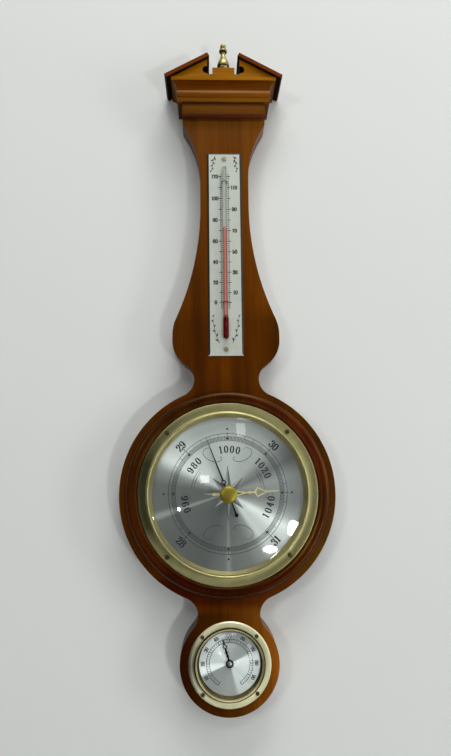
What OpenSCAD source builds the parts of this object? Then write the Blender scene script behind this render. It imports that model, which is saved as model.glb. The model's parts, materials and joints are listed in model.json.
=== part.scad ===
// Banjo barometer: a wall-hung board with pediment, thermometer, aneroid barometer and hygrometer.
// Millimetres, +Z up, the front faces -Y. The origin is the hanging point on the wall.

/* [Board] */
// Thickness of the wooden board
board_t = 25; // [23:0.5:32]
// Half width of the board under the frieze
top_half_w = 44.5; // [40:0.5:50]
// Half width of the waist beside the thermometer
waist_half_w = 25.7; // [22:0.1:29]
// Half width of the swelling below the thermometer
bulge_half_w = 55.4; // [50:0.1:60]
// Radius of the board round the barometer
disc_r = 108.6; // [104:0.1:115]
// Drop of that round below the barometer's centre
disc_drop = 0.8; // [0:0.1:2]
// Radius of the board round the hygrometer
lower_disc_r = 48.5; // [45:0.5:54]
// Radius of the flare below the frieze
flare_r = 115; // [90:1:140]
// Radius of the long hollow between waist and swelling
waist_r = 296; // [240:1:340]
// Radius of the swelling above its widest place
bulge_upper_r = 42; // [34:1:50]
// Radius of the swelling below its widest place
bulge_lower_r = 30; // [24:1:36]
// Radius of the neck above the barometer
neck_r = 17.6; // [14:0.1:22]
// Radius of the neck below the barometer
lower_neck_r = 18; // [14:0.1:22]

/* [Heights] */
// Drop from the shoulder to the hanging point
shoulder_to_hang = 8; // [4:0.5:20]
// Drop from the barometer's centre to the hygrometer's centre
dial_to_hygro = 163.5; // [160:0.1:172]
// Rise from the barometer's centre to the widest place of the swelling
dial_to_bulge = 155; // [150:0.5:162]
// Straight length of the swelling's side
bulge_flat = 6.5; // [2:0.5:12]
// Rise from the barometer's centre to the shoulder where the flare ends
dial_to_shoulder = 393; // [388:0.5:405]
// Straight edge between shoulder and frieze
shoulder_to_frieze = 7.2; // [4:0.2:14]

/* [Cornice and pediment] */
// Height of the frieze
frieze_h = 13.3; // [8:0.1:20]
// Thickness of the frieze in front of the board
frieze_t = 7; // [4:0.5:12]
// Overhang of the cornice in front of the frieze
cornice_lip = 1.5; // [0.5:0.1:4]
// Overhang of the cornice at the sides
cornice_side = 5; // [3:0.1:8]
// Height of the cornice's bottom fillet
fillet_h = 4.5; // [2:0.1:8]
// Height of the cornice's round
ovolo_h = 9; // [5:0.1:14]
// Swell of the cornice's round
ovolo_p = 0.9; // [0.5:0.1:3]
// Height of the cornice's hollow
cove_h = 7; // [4:0.1:12]
// Overhang of the cornice's hollow
cove_p = 6.5; // [4:0.1:9]
// Step between round and hollow
quirk = 0.4; // [0.2:0.1:1]
// Height of the pediment's outer ends and of its front strip
eave_h = 4; // [1:0.1:6]
// Distance of the pediment's gables behind its front strip
gable_back = 1.4; // [0.5:0.1:3]
// Slope of the roof boards in degrees
roof_pitch = 28.6; // [24:0.1:34]
// Thickness of the roof boards
roof_t = 4.5; // [3:0.1:7]
// Overhang of the roof boards at the eaves
eave_run = 5.7; // [2:0.1:8]
// Overhang of the roof boards in front and into the break
roof_lip = 2.4; // [1:0.1:5]
// Half width of the break in the pediment
break_half_w = 17.4; // [15:0.1:22]
// Half width of the plinth under the finial
plinth_half_w = 11.8; // [8:0.1:13]
// Height of the plinth above the pediment's base
plinth_h = 14.3; // [11:0.1:20]
// Height of the floor of the break
notch_h = 7.7; // [5:0.1:10]
// Radius of the round cut-outs
cutout_r = 4; // [2.5:0.1:5]
// Height of the round cut-outs above the pediment's base
cutout_h = 12.9; // [11:0.1:15]
// Height of the finial
finial_h = 31.5; // [24:0.5:40]
// Distance of the finial's axis from the pediment's front
finial_setback = 6.5; // [6.2:0.1:12]

/* [Barometer] */
// Outer radius of the brass bezel
bezel_r = 90; // [86:0.5:94]
// Width of the turned surround outside the bezel
surround_w = 11.2; // [6:0.1:13]
// Height of the surround in front of the board
surround_t = 7; // [5:0.1:10]
// Depth of the bezel's seat in the surround
seat_depth = 2; // [1:0.1:3]
// Thickness of the bezel's flange
flange_t = 1.2; // [0.8:0.1:2]
// Height of the bezel's bead in front of its seat
bead_h = 6.2; // [4.6:0.1:7]
// Radius of the circle of bezel screws
screw_circle_r = 85.2; // [84:0.1:87]
// Thickness of the glass
glass_t = 2; // [1.5:0.1:3]
// Rise of the glass dome
dome_h = 8; // [7:0.5:14]
// Height of the reflector ring between dial and glass
reflector_h = 3.6; // [3:0.1:5]
// Slope of the reflector ring across its height
reflector_slope = 3; // [1:0.1:4]
// Thickness of the dial
dial_t = 0.8; // [0.5:0.1:1.2]
// Reach of the pressure hand
hand_len = 59; // [50:0.5:66]
// Angle of the pressure hand from twelve, left positive
hand_angle = 21.2; // [0:0.1:60]
// Reach of the set hand
set_len = 50; // [44:0.5:58]
// Angle of the set hand from twelve, left positive
set_angle = -87.4; // [-120:0.1:-60]
// Radius of the set knob
knob_r = 8.5; // [7:0.1:11]
// Height of the set knob
knob_h = 6.5; // [5:0.1:10]
// Number of flutes on the set knob
knob_flutes = 28; // [16:1:36]

/* [Movement] */
// Thickness of the case's wall
case_t = 1; // [0.8:0.1:1.5]
// Distance of the case from the wall
case_back = 2; // [1.5:0.1:3]
// Thickness of the movement plate
plate_t = 1.5; // [1:0.1:2]
// Height of the spacers behind the plate
spacer_h = 3; // [2:0.1:4]
// Size of the teeth, pitch diameter over count
tooth_m = 0.6; // [0.5:0.02:0.7]
// Teeth on the hand's pinion
pinion_teeth = 12; // [10:1:14]
// Teeth on a full circle of the sector
sector_teeth = 96; // [92:1:100]
// Play between the teeth at the pitch line
backlash = 0.12; // [0.08:0.01:0.2]
// Radius of the vacuum capsule
capsule_r = 20; // [16:0.5:21]
// Height of the vacuum capsule
capsule_h = 8; // [6:0.1:9]
// Distance of the capsule from the sector's stud
capsule_offset = 34; // [33:0.5:37]
// Length of the sector's tail and of the rocking shaft's arm
tail_len = 8; // [7:0.1:8.4]
// Distance of the capsule's post from the rocking shaft's axis
pad_len = 3.2; // [2.8:0.1:3.6]
// Radius of the rocking shaft
shaft_r = 1.5; // [1.2:0.1:1.8]
// Radius of the hand's arbor
arbor_r = 0.9; // [0.7:0.05:1.2]
// Turns of the hairspring
hairspring_turns = 5; // [3:1:6]

/* [Hygrometer] */
// Outer radius of the hygrometer's bezel
hygro_r = 40.3; // [37:0.1:43]
// Radius of the circle of hygrometer screws
hygro_screw_circle_r = 37.2; // [36.8:0.1:37.6]
// Depth of the hygrometer's case
hygro_case_h = 13.6; // [12.5:0.1:15]
// Reach of the humidity hand
hygro_hand_len = 24.5; // [18:0.5:27]
// Angle of the humidity hand from twelve, left positive
hygro_angle = 15.7; // [-60:0.1:60]
// Turns of the humidity coil
coil_turns = 5; // [3:1:7]

/* [Thermometer] */
// Half width of the scale plate
plate_half_w = 18.3; // [15:0.1:21]
// Height of the scale plate
scale_h = 220; // [212:1:228]
// Rise from the barometer's centre to the scale plate's middle
dial_to_scale = 249.1; // [244:0.1:254]
// Thickness of the scale plate
scale_t = 1.8; // [1:0.1:3]
// Bevel round the scale plate
scale_bevel = 1.9; // [0.5:0.1:2.4]
// Distance of the plate's screws from its ends
scale_screw_in = 6.6; // [5:0.1:9]
// Rise of the bulb's foot above the plate's lower end
bulb_rise = 16.7; // [14:0.1:20]
// Rise of the lower staple above the bulb
staple_rise = 15.2; // [10:0.1:20]
// Drop of the upper staple from the tube's end
staple_drop = 17.9; // [12:0.1:24]
// Radius of the glass stem
stem_r = 2.1; // [1.8:0.1:2.6]
// Radius of the glass bulb
bulb_r = 2.9; // [2.7:0.1:3.4]
// Length of the glass bulb
bulb_len = 23.7; // [18:0.1:28]
// Radius of the stem's bore
bore_r = 1; // [0.6:0.1:1.2]
// Length of the glass tube
tube_len = 187; // [180:0.5:195]
// Length of the spirit column above the bulb at rest
column_len = 95.5; // [60:0.5:140]

/* [Hanger] */
// Width of the hanger plate
hanger_w = 16; // [14:0.5:20]
// Length of the hanger plate
hanger_len = 44; // [42:0.5:54]
// Thickness of the hanger plate
hanger_t = 1.4; // [1:0.1:2]
// Radius of the keyhole's entry
keyhole_r = 4.5; // [3.5:0.1:5.5]
// Radius of the keyhole's slot
slot_r = 2.2; // [1.5:0.1:2.5]
// Rise of the keyhole's slot
slot_rise = 9; // [7:0.1:10]

/* [Hidden] */
$fn = 96;
small_fn = 32;
// Clearances: a shaft in its bearing, a loose fit between fixed pieces, a screw in its hole
run_gap = 0.05;
hub_gap = 0.02;
fit_gap = 0.2;
loose_gap = 0.4;
screw_gap = 0.1;
eps = 0.01;

// Heights of the main centres above the hanging point
dial_y = shoulder_to_hang - dial_to_shoulder;
hygro_y = dial_y - dial_to_hygro;
shoulder_y = dial_y + dial_to_shoulder;
frieze_y = shoulder_y + shoulder_to_frieze;
cornice_y = frieze_y + frieze_h;
cornice_h = fillet_h + ovolo_h + cove_h;
pediment_y = cornice_y + cornice_h;

// Cornice: distances of the fillet plane, then of the pediment and roof
fillet_front = board_t + frieze_t + cornice_lip;
fillet_half_w = top_half_w + cornice_side;
pediment_front = fillet_front + cove_p;
pediment_half_w = fillet_half_w + cove_p;
roof_front = pediment_front + roof_lip;
roof_run = (pediment_half_w - break_half_w + roof_lip) / cos(roof_pitch);
break_h = eave_h + (pediment_half_w - break_half_w) * tan(roof_pitch);
finial_stud_r = 1.6;
finial_stud_len = 7;

// Barometer: radii from the bezel inwards
bezel_wall_r = bezel_r - 9.4;
lip_r = bezel_r - 11.6;
glass_r = bezel_r - 10.6;
skirt_in_r = glass_r + loose_gap;
skirt_out_r = skirt_in_r + 1;
instrument_bore_r = skirt_out_r + loose_gap;
case_r = skirt_in_r - fit_gap;
case_in_r = case_r - case_t;
seat_r = bezel_r + 0.5;
surround_r = seat_r + surround_w;
dial_hole_r = 2.2;

// Barometer: distances from the wall
seat_d = board_t + surround_t - seat_depth;
flange_d = seat_d + flange_t;
glass_d = seat_d + 0.9;
lip_d = glass_d + glass_t;
dial_d = glass_d - reflector_h;
rim_d = dial_d - dial_t;
skirt_d = rim_d - 3;
hand_d = dial_d + 2;
hand_t = 0.5;
hand_hub_d = dial_d + 0.9;
hand_hub_h = 2.4;
arbor_tip_d = dial_d + 3.6;
set_d = dial_d + 6.3;
set_t = 0.6;
set_hub_d = set_d - 0.6;
set_hub_h = 2.6;
dome_in_d = glass_d + dome_h;
dome_out_d = dome_in_d + glass_t;
bush_flange_h = 1;
bush_r = 2.6;
bush_flange_r = 5;
spindle_r = 1.5;
knob_d = dome_out_d + bush_flange_h + fit_gap;

// Barometer screws
bezel_screw_r = 1.5;
bezel_screw_len = 13;
bezel_head_r = 2.3;
bezel_head_h = 1.3;

// Movement: distances from the wall
floor_d = case_back + 1.2;
plate_back = floor_d + spacer_h;
plate_d = plate_back + plate_t;
plate_r = case_in_r - 7;
pinion_d = plate_d + 1.3;
pinion_h = 2.4;
sector_d = plate_d + 1.7;
sector_t = 1.5;
contact_d = plate_d + 4.8;
shaft_d = contact_d + tail_len;
pad_t = 1.2;
push_gap = 0.65;
post_r = 2;
post_tip_d = shaft_d - pad_t / 2 - push_gap;
collar_d = plate_d + capsule_h + 1.2;
post_tip_r = 0.7;
post_foot_d = collar_d - 3.3;
post_play = 1.5;
bridge_d = shaft_d + shaft_r;
bridge_t = 1.2;
hairspring_d = bridge_d - 4;
hairspring_w = 0.6;

// Movement: places seen from the front, counted from the arbor
pinion_pitch_r = tooth_m * pinion_teeth / 2;
sector_pitch_r = tooth_m * sector_teeth / 2;
centre_distance = pinion_pitch_r + sector_pitch_r;
stud_r = 1.2;
capsule_at = [-capsule_offset, -centre_distance + pad_len];
bracket_left = -capsule_offset - capsule_r - 3;
bracket_right = tail_len + 2;
bracket_t = 3;
bracket_w = 6;
tail_pin_r = 0.8;
fork_gap = 0.45;
fork_t = 1;
collet_r = 2;
hairspring_t = 0.35;
hairspring_r = 8.6;
hairspring_stud_r = 0.8;
movement_screw_r = 1.4;
movement_circle_r = plate_r - 12;
movement_angles = [60, 180, 300];
adjuster_r = 1.8;
adjuster_head_r = 3.2;

// Hygrometer: radii and distances from the wall
hygro_lip_r = hygro_r - 8.6;
hygro_glass_r = hygro_r - 7.4;
hygro_skirt_in_r = hygro_glass_r + fit_gap;
hygro_skirt_out_r = hygro_skirt_in_r + 0.9;
hygro_bore_r = hygro_skirt_out_r + loose_gap;
hygro_case_r = hygro_glass_r;
hygro_wall = 0.8;
hygro_glass_t = 1.6;
hygro_lip_d = board_t + hygro_glass_t;
hygro_flange_d = board_t + 1.8;
hygro_slope = 1.9;
hygro_dial_t = 0.6;
hygro_dial_d = board_t - 2.8;
hygro_rim_d = hygro_dial_d - hygro_dial_t;
hygro_case_d = hygro_rim_d - hygro_case_h;
hygro_floor_d = hygro_case_d + 1;
hygro_hand_d = hygro_dial_d + 1;
hygro_hand_t = 0.4;
hygro_arbor_r = 0.6;
hygro_bush_h = 3;
coil_d = hygro_floor_d + 4.5;
coil_w = 4;
coil_t = 0.5;
coil_inner_r = 2.1;
coil_outer_r = hygro_case_r - 19.6;
coil_post_r = 1.2;
hygro_screw_r = 1.1;
hygro_screw_len = 9;
hygro_head_r = 1.9;
hygro_head_h = 0.9;

// Thermometer
scale_y = dial_y + dial_to_scale;
scale_d = board_t + scale_t;
tube_d = scale_d + bulb_r + 0.1;
tube_y = scale_y - scale_h / 2 + bulb_rise;
stem_y = tube_y + bulb_len;
tube_neck = 2;
bulb_wall = 0.6;
staple_wire_r = 0.4;
staple_bend_r = stem_r + fit_gap + staple_wire_r;
staple_ys = [stem_y + staple_rise, tube_y + tube_len - staple_drop];
scale_screw_ys = [scale_y - scale_h / 2 + scale_screw_in, scale_y + scale_h / 2 - scale_screw_in];
scale_screw_r = 1.2;
scale_screw_len = 10;
scale_head_r = 2.4;
scale_head_h = 1;
meniscus_h = 1.2;

// Hanger
hanger_screw_y = hanger_len / 2 - 5.5;
hanger_screw_r = 1.4;
hanger_head_r = 2.7;
hanger_screw_len = 12;
pocket_d = 12;
pocket_r = keyhole_r + 1.2;

// Turns the drawing plane upright: x right, y up, z away from the wall
module on_wall() {
    rotate([90, 0, 0]) children();
}

// Places children on the barometer's axis
module at_dial() {
    on_wall() translate([0, dial_y, 0]) children();
}

// Places children on the hygrometer's axis
module at_hygro() {
    on_wall() translate([0, hygro_y, 0]) children();
}

// A turned piece from its half section of radius and distance
module turned(section) {
    rotate_extrude() polygon(section);
}

// A tube from one distance to another
module tube(outer, inner, from, to) {
    translate([0, 0, from]) difference() {
        cylinder(r = outer, h = to - from);
        translate([0, 0, -1]) cylinder(r = inner, h = to - from + 2);
    }
}

// A pin from one distance to another
module pin(r, from, to) {
    translate([0, 0, from]) cylinder(r = r, h = to - from);
}

// Four copies on the diagonals of a circle
module on_diagonals(r) {
    for (a = [45:90:315]) {
        rotate(a) translate([r, 0, 0]) children();
    }
}

// A screw whose head starts at the given distance, with a slot across it
module slotted_screw(head_r, head_h, shank_r, len, from, slot_angle) {
    difference() {
        union() {
            pin(head_r, from, from + head_h);
            pin(shank_r, from - len, from + eps);
        }
        translate([0, 0, from + head_h]) rotate(slot_angle)
            cube([head_r * 3, head_r * 0.32, head_h], center = true);
    }
}

// Points of an arc, angles in degrees
function arc(c, r, a0, a1, n) =
    [for (i = [0:n]) let (a = a0 + (a1 - a0) * i / n) [c[0] + r * cos(a), c[1] + r * sin(a)]];

// Right-hand centre of a circle that touches two circles from outside
function touching(c1, r1, c2, r2, r) =
    let (v = c2 - c1, d = norm(v), u = v / d)
    let (a = ((r1 + r) ^ 2 - (r2 + r) ^ 2 + d ^ 2) / (2 * d))
    let (h = sqrt((r1 + r) ^ 2 - a ^ 2))
    c1 + a * u + h * [u[1], -u[0]];

// Direction from one point to another
function bearing(from, to) = atan2(to[1] - from[1], to[0] - from[0]);

// Right half of the board's outline, from its foot up
function board_half() =
    let (disc = [0, dial_y - disc_drop], low = [0, hygro_y])
    let (bulge = [bulge_half_w - bulge_lower_r, dial_y + dial_to_bulge])
    let (swell = [bulge_half_w - bulge_upper_r, bulge[1] + bulge_flat])
    let (throat = touching(low, lower_disc_r, disc, disc_r, lower_neck_r))
    let (neck = touching(disc, disc_r, bulge, bulge_lower_r, neck_r))
    let (reach = waist_half_w + waist_r - swell[0])
    let (waist = [waist_half_w + waist_r, swell[1] + sqrt((waist_r + bulge_upper_r) ^ 2 - reach ^ 2)])
    let (flare_x = waist_half_w + flare_r, flare_end = acos((top_half_w - flare_x) / flare_r))
    let (flare = [flare_x, shoulder_y - flare_r * sin(flare_end)])
    concat(
        arc(low, lower_disc_r, -90, bearing(low, throat), 28),
        arc(throat, lower_neck_r, bearing(throat, low) + 360, bearing(throat, disc), 14),
        arc(disc, disc_r, bearing(disc, throat), bearing(disc, neck), 48),
        arc(neck, neck_r, bearing(neck, disc) + 360, bearing(neck, bulge), 14),
        arc(bulge, bulge_lower_r, bearing(bulge, neck), 0, 12),
        arc(swell, bulge_upper_r, 0, bearing(swell, waist), 8),
        arc(waist, waist_r, bearing(waist, swell) + 360, 180, 24),
        arc(flare, flare_r, 180, flare_end, 14),
        [[top_half_w, pediment_y]]
    );

// A half outline joined to its mirror image
function both_sides(half) =
    concat(half, [for (i = [len(half) - 1:-1:0]) if (half[i][0] > eps) [-half[i][0], half[i][1]]]);

// Section of the cornice: projection from the fillet plane, then height
function cornice_section(depth) = concat(
    [[-depth, 0], [0, 0], [0, fillet_h]],
    [for (a = [22.5:22.5:180]) [ovolo_p * sin(a), fillet_h + ovolo_h * (1 - cos(a)) / 2]],
    [for (a = [0:10:90]) [cove_p - (cove_p - quirk) * cos(a), fillet_h + ovolo_h + cove_h * sin(a)]],
    [[-depth, cornice_h]]
);

// The cornice's corner seen from above: x, then distance from the wall
corner_d = fillet_front - cornice_side;
function mitre(x) = [x, fillet_front + x - fillet_half_w];
miter_end = pediment_half_w + 4;

module backboard() {
    color("#8c4a18") on_wall() difference() {
        linear_extrude(board_t) polygon(both_sides(board_half()));
        translate([0, dial_y, -1]) cylinder(r = instrument_bore_r, h = board_t + 2);
        translate([0, dial_y, 0]) on_diagonals(screw_circle_r)
            pin(bezel_screw_r + screw_gap, flange_d - bezel_screw_len - 1, board_t + 1);
        translate([0, hygro_y, -1]) cylinder(r = hygro_bore_r, h = board_t + 2);
        translate([0, hygro_y, 0]) on_diagonals(hygro_screw_circle_r)
            pin(hygro_screw_r + screw_gap, board_t - hygro_screw_len, board_t + 1);
        for (y = scale_screw_ys) {
            translate([0, y, 0]) pin(scale_screw_r + screw_gap, board_t - scale_screw_len, board_t + 1);
        }
        hanger_recess();
    }
}

// Recess for the hanger plate, with a pocket for the wall screw's head behind the keyhole
module hanger_recess() {
    translate([-hanger_w / 2 - screw_gap, -hanger_len / 2 - screw_gap, -1])
        cube([hanger_w + 2 * screw_gap, hanger_len + 2 * screw_gap, hanger_t + 1]);
    pin(pocket_r, -1, pocket_d);
    translate([0, slot_rise, 0]) pin(pocket_r, -1, pocket_d);
    translate([-pocket_r, 0, -1]) cube([2 * pocket_r, slot_rise, pocket_d + 1]);
    for (s = [-1, 1]) {
        translate([0, s * hanger_screw_y, 0])
            pin(hanger_screw_r + screw_gap, -1, hanger_screw_len + 1);
    }
}

module frieze() {
    color("#7d3f15") on_wall() translate([-top_half_w, frieze_y, board_t])
        cube([2 * top_half_w, frieze_h, frieze_t]);
}

module cornice_front() {
    plan = [[-top_half_w, board_t], [top_half_w, board_t], [top_half_w, corner_d], mitre(miter_end),
        [-miter_end, mitre(miter_end)[1]], [-top_half_w, corner_d]];
    color("#93501b") on_wall() translate([0, cornice_y, 0]) intersection() {
        translate([0, 0, fillet_front]) rotate([0, -90, 0])
            linear_extrude(2 * miter_end, center = true)
            polygon(cornice_section(fillet_front - board_t));
        rotate([90, 0, 0]) linear_extrude(4 * cornice_h, center = true) polygon(plan);
    }
}

// One cornice return, on the right-hand side
module cornice_return() {
    plan = [[top_half_w, 0], [miter_end, 0], mitre(miter_end), [top_half_w, corner_d]];
    translate([0, cornice_y, 0]) intersection() {
        translate([fillet_half_w, 0, 0]) linear_extrude(pediment_front)
            polygon(cornice_section(cornice_side));
        rotate([90, 0, 0]) linear_extrude(4 * cornice_h, center = true) polygon(plan);
    }
}

module cornice_right_return() {
    color("#7a3d14") on_wall() cornice_return();
}

module cornice_left_return() {
    color("#7a3d14") on_wall() mirror([1, 0, 0]) cornice_return();
}

module pediment() {
    half = [[pediment_half_w, 0], [pediment_half_w, eave_h], [break_half_w, break_h],
        [break_half_w, notch_h], [plinth_half_w, notch_h], [plinth_half_w, plinth_h]];
    color("#a35a1c") on_wall() translate([0, pediment_y, 0]) difference() {
        union() {
            linear_extrude(pediment_front - gable_back) polygon(both_sides(half));
            translate([-pediment_half_w, 0, 0]) cube([2 * pediment_half_w, eave_h, pediment_front]);
            translate([-plinth_half_w, 0, 0]) cube([2 * plinth_half_w, plinth_h, pediment_front]);
        }
        for (s = [-1, 1]) {
            translate([s * (break_half_w + 1), cutout_h, -1]) cylinder(r = cutout_r, h = pediment_front + 2);
        }
        translate([0, plinth_h, pediment_front - finial_setback]) rotate([90, 0, 0])
            pin(finial_stud_r + screw_gap, -1, finial_stud_len + 1);
    }
}

// One roof board, on the right-hand side
module roof_board() {
    translate([pediment_half_w, pediment_y + eave_h, 0]) rotate(180 - roof_pitch)
        translate([-eave_run, -roof_t, 0]) cube([eave_run + roof_run, roof_t, roof_front]);
}

module right_roof_board() {
    color("#7a3c14") on_wall() roof_board();
}

module left_roof_board() {
    color("#7a3c14") on_wall() mirror([1, 0, 0]) roof_board();
}

module finial() {
    h = finial_h;
    neck_r = h * 0.08;
    bell_r = h * 0.205;
    bell_foot = h * 0.2;
    bell_h = h * 0.4;
    ball_r = h * 0.103;
    ball = [0, h - ball_r];
    section = concat(
        [[0, -finial_stud_len], [finial_stud_r, -finial_stud_len], [finial_stud_r, 0], [bell_r * 0.88, 0],
            [bell_r * 0.88, bell_foot * 0.6], [bell_r, bell_foot * 0.8]],
        [for (t = [0:0.1:1]) [neck_r + (bell_r - neck_r) * (1 + cos(180 * t)) / 2, bell_foot + bell_h * t]],
        [[neck_r, h * 0.66], [h * 0.132, h * 0.7], [h * 0.142, h * 0.736], [h * 0.132, h * 0.772],
            [h * 0.06, h * 0.8]],
        arc(ball, ball_r, -60, 90, 12)
    );
    color("#b99a4e") on_wall() translate([0, pediment_y + plinth_h, pediment_front - finial_setback])
        rotate([-90, 0, 0]) turned(section);
}

module dial_surround() {
    front = board_t + surround_t;
    bead = [surround_r - surround_w * 0.42, front - surround_w * 0.42];
    section = concat(
        [[instrument_bore_r, board_t], [surround_r, board_t]],
        arc(bead, surround_w * 0.42, 0, 100, 10),
        [[seat_r + surround_w * 0.34, front - 0.9], [seat_r + surround_w * 0.2, front - 0.2],
            [seat_r, front - 0.2], [seat_r, seat_d], [instrument_bore_r, seat_d]]
    );
    color("#5a2412") at_dial() difference() {
        turned(section);
        on_diagonals(screw_circle_r) pin(bezel_screw_r + screw_gap, board_t - 1, seat_d + 1);
    }
}

module barometer_bezel() {
    bead_r = (bezel_wall_r - lip_r) / 2;
    bead = [lip_r + bead_r, seat_d + bead_h - bead_r];
    cove = [bezel_wall_r + 1, flange_d + 1];
    section = concat(
        [[skirt_in_r, skirt_d], [skirt_out_r, skirt_d], [skirt_out_r, seat_d], [bezel_r, seat_d],
            [bezel_r, flange_d - 0.3], [bezel_r - 0.4, flange_d + 0.2], [bezel_r - 1, flange_d + 0.2],
            [bezel_r - 1.5, flange_d]],
        [for (a = [270:-15:180]) [cove[0] + cos(a), cove[1] + sin(a)]],
        [for (a = [0:20:180]) [bead[0] + bead_r * cos(a), bead[1] + bead_r * sin(a)]],
        [[lip_r, lip_d], [skirt_in_r, lip_d]]
    );
    color("#b39a55") at_dial() difference() {
        turned(section);
        on_diagonals(screw_circle_r) pin(bezel_screw_r + screw_gap, seat_d - 1, flange_d + 1);
    }
}

module bezel_screws() {
    color("#4d4427") at_dial() on_diagonals(screw_circle_r)
        slotted_screw(bezel_head_r, bezel_head_h, bezel_screw_r, bezel_screw_len, flange_d, 65);
}

// Half section of a dome of even thickness with a flat rim
function dome_section(r, rim, base, rise, t, hole) =
    let (span = r - rim, ball = (span ^ 2 + rise ^ 2) / (2 * rise), steps = 20)
    let (dome = [for (i = [0:steps]) let (x = hole + (span - hole) * i / steps)
        [x, base + rise - ball + sqrt(ball ^ 2 - x ^ 2)]])
    concat(
        [for (p = dome) p],
        [[r, base], [r, base + t]],
        [for (i = [steps:-1:0]) [dome[i][0], dome[i][1] + t]]
    );

module barometer_glass() {
    color("#dfe8ea", 0.35) at_dial()
        turned(dome_section(glass_r, glass_r - lip_r + 1, glass_d, dome_h, glass_t, bush_r + fit_gap));
}

module reflector_ring() {
    visible_r = lip_r - reflector_slope + fit_gap;
    section = [[visible_r, dial_d], [glass_r, dial_d], [glass_r, glass_d],
        [visible_r + reflector_slope, glass_d]];
    color("#c9ab5c") at_dial() turned(section);
}

module barometer_dial() {
    color("#c9ced0") at_dial() tube(glass_r, dial_hole_r, rim_d, dial_d);
}

module barometer_case() {
    section = [[0, case_back], [case_r, case_back], [case_r, rim_d], [case_in_r, rim_d],
        [case_in_r, floor_d], [0, floor_d]];
    color("#8d8f8c") at_dial() difference() {
        turned(section);
        translate([capsule_at[0], capsule_at[1], 0]) pin(adjuster_head_r + loose_gap, case_back - 1, floor_d + 1);
        for (a = movement_angles) {
            rotate(a) translate([movement_circle_r, 0, 0])
                pin(movement_screw_r + screw_gap, case_back - 1, floor_d + 1);
        }
    }
}

module glass_bush() {
    nut_h = 1.8;
    foot_d = dome_in_d - nut_h;
    section = [[spindle_r + run_gap, foot_d], [bush_r + 2, foot_d], [bush_r + 2, dome_in_d - fit_gap],
        [bush_r, dome_in_d - fit_gap], [bush_r, dome_out_d], [bush_flange_r, dome_out_d],
        [bush_flange_r, dome_out_d + bush_flange_h], [spindle_r + run_gap, dome_out_d + bush_flange_h]];
    color("#a98f45") at_dial() turned(section);
}

module set_knob() {
    crown = 1.6;
    section = concat(
        [[0, set_hub_d], [spindle_r, set_hub_d], [spindle_r, knob_d], [knob_r - 0.6, knob_d],
            [knob_r, knob_d + 0.6], [knob_r, knob_d + knob_h - crown - 0.5]],
        [for (a = [0:15:90]) [(knob_r - 0.5) * cos(a), knob_d + knob_h - crown + crown * sin(a)]]
    );
    color("#c8a02c") at_dial() difference() {
        turned(section);
        for (i = [0:knob_flutes - 1]) {
            rotate(i * 360 / knob_flutes) translate([knob_r + 0.35, 0, 0])
                pin(0.75, knob_d - 1, knob_d + knob_h + 1, $fn = small_fn);
        }
    }
}

// A flat bar that tapers along +y
module taper(w0, w1, y0, y1) {
    polygon([[-w0 / 2, y0], [w0 / 2, y0], [w1 / 2, y1], [-w1 / 2, y1]]);
}

// An open diamond along +y
module open_diamond(y0, y1, half_w, line, widest) {
    mid = y0 + (y1 - y0) * widest;
    difference() {
        polygon([[0, y0], [half_w, mid], [0, y1], [-half_w, mid]]);
        polygon([[0, y0 + 2.2 * line], [half_w - 1.3 * line, mid], [0, y1 - 2.2 * line],
            [-half_w + 1.3 * line, mid]]);
    }
}

module set_hand() {
    s = set_len;
    color("#d8c57a") at_dial() rotate(set_angle) difference() {
        union() {
            translate([0, 0, set_d]) linear_extrude(set_t) {
                difference() {
                    taper(s * 0.17, 1.4, s * 0.06, s * 0.36);
                    taper(s * 0.12, 0.2, s * 0.08, s * 0.28);
                }
                taper(1.5, 1.5, s * 0.34, s * 0.54);
                translate([0, s * 0.43]) circle(r = 1.4);
                open_diamond(s * 0.51, s * 0.79, s * 0.1, 1.1, 0.25);
                taper(1.7, 0.6, s * 0.76, s);
                taper(2.4, 1.8, -s * 0.28, 0);
                translate([0, -s * 0.28]) circle(r = 1.6);
            }
            pin(3.4, set_hub_d, set_hub_d + set_hub_h);
        }
        pin(spindle_r + hub_gap, set_hub_d - 1, set_hub_d + set_hub_h + 1);
    }
}

module barometer_hand() {
    h = hand_len;
    color("#1d2733") at_dial() rotate(hand_angle) difference() {
        union() {
            translate([0, 0, hand_d]) linear_extrude(hand_t) {
                taper(1.5, 1.5, 0, h * 0.17);
                difference() {
                    translate([0, h * 0.2]) circle(r = h * 0.04);
                    translate([0, h * 0.2]) circle(r = h * 0.022);
                }
                taper(1.7, 0.4, h * 0.225, h);
                taper(1.6, 1, -h * 0.37, 0);
                translate([0, -h * 0.39]) circle(r = h * 0.032);
            }
            pin(2.6, hand_hub_d, hand_hub_d + hand_hub_h);
        }
        pin(arbor_r + hub_gap, hand_hub_d - 1, hand_hub_d + hand_hub_h + 1);
    }
}

// Rolled angle of an involute at a pressure angle
function rolled(a) = tan(a) * 180 / PI - a;

// Half angle of a tooth at a radius
function tooth_half(r, teeth) =
    let (pitch_r = tooth_m * teeth / 2, base_r = pitch_r * cos(tooth_angle))
    let (a = r > base_r ? acos(base_r / r) : 0)
    90 / teeth - backlash / 4 / pitch_r * 180 / PI + rolled(tooth_angle) - rolled(a);
tooth_angle = 25;
tooth_top = 0.8 * tooth_m;
tooth_foot = 1.1 * tooth_m;

// Outline of one tooth that points along the given direction
function tooth(teeth, direction) =
    let (pitch_r = tooth_m * teeth / 2, steps = 4)
    let (rs = [for (i = [0:steps]) pitch_r - tooth_foot + (tooth_foot + tooth_top) * i / steps])
    concat(
        [for (r = rs) let (a = direction + tooth_half(r, teeth)) [r * cos(a), r * sin(a)]],
        [for (i = [steps:-1:0]) let (a = direction - tooth_half(rs[i], teeth)) [rs[i] * cos(a), rs[i] * sin(a)]]
    );

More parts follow.
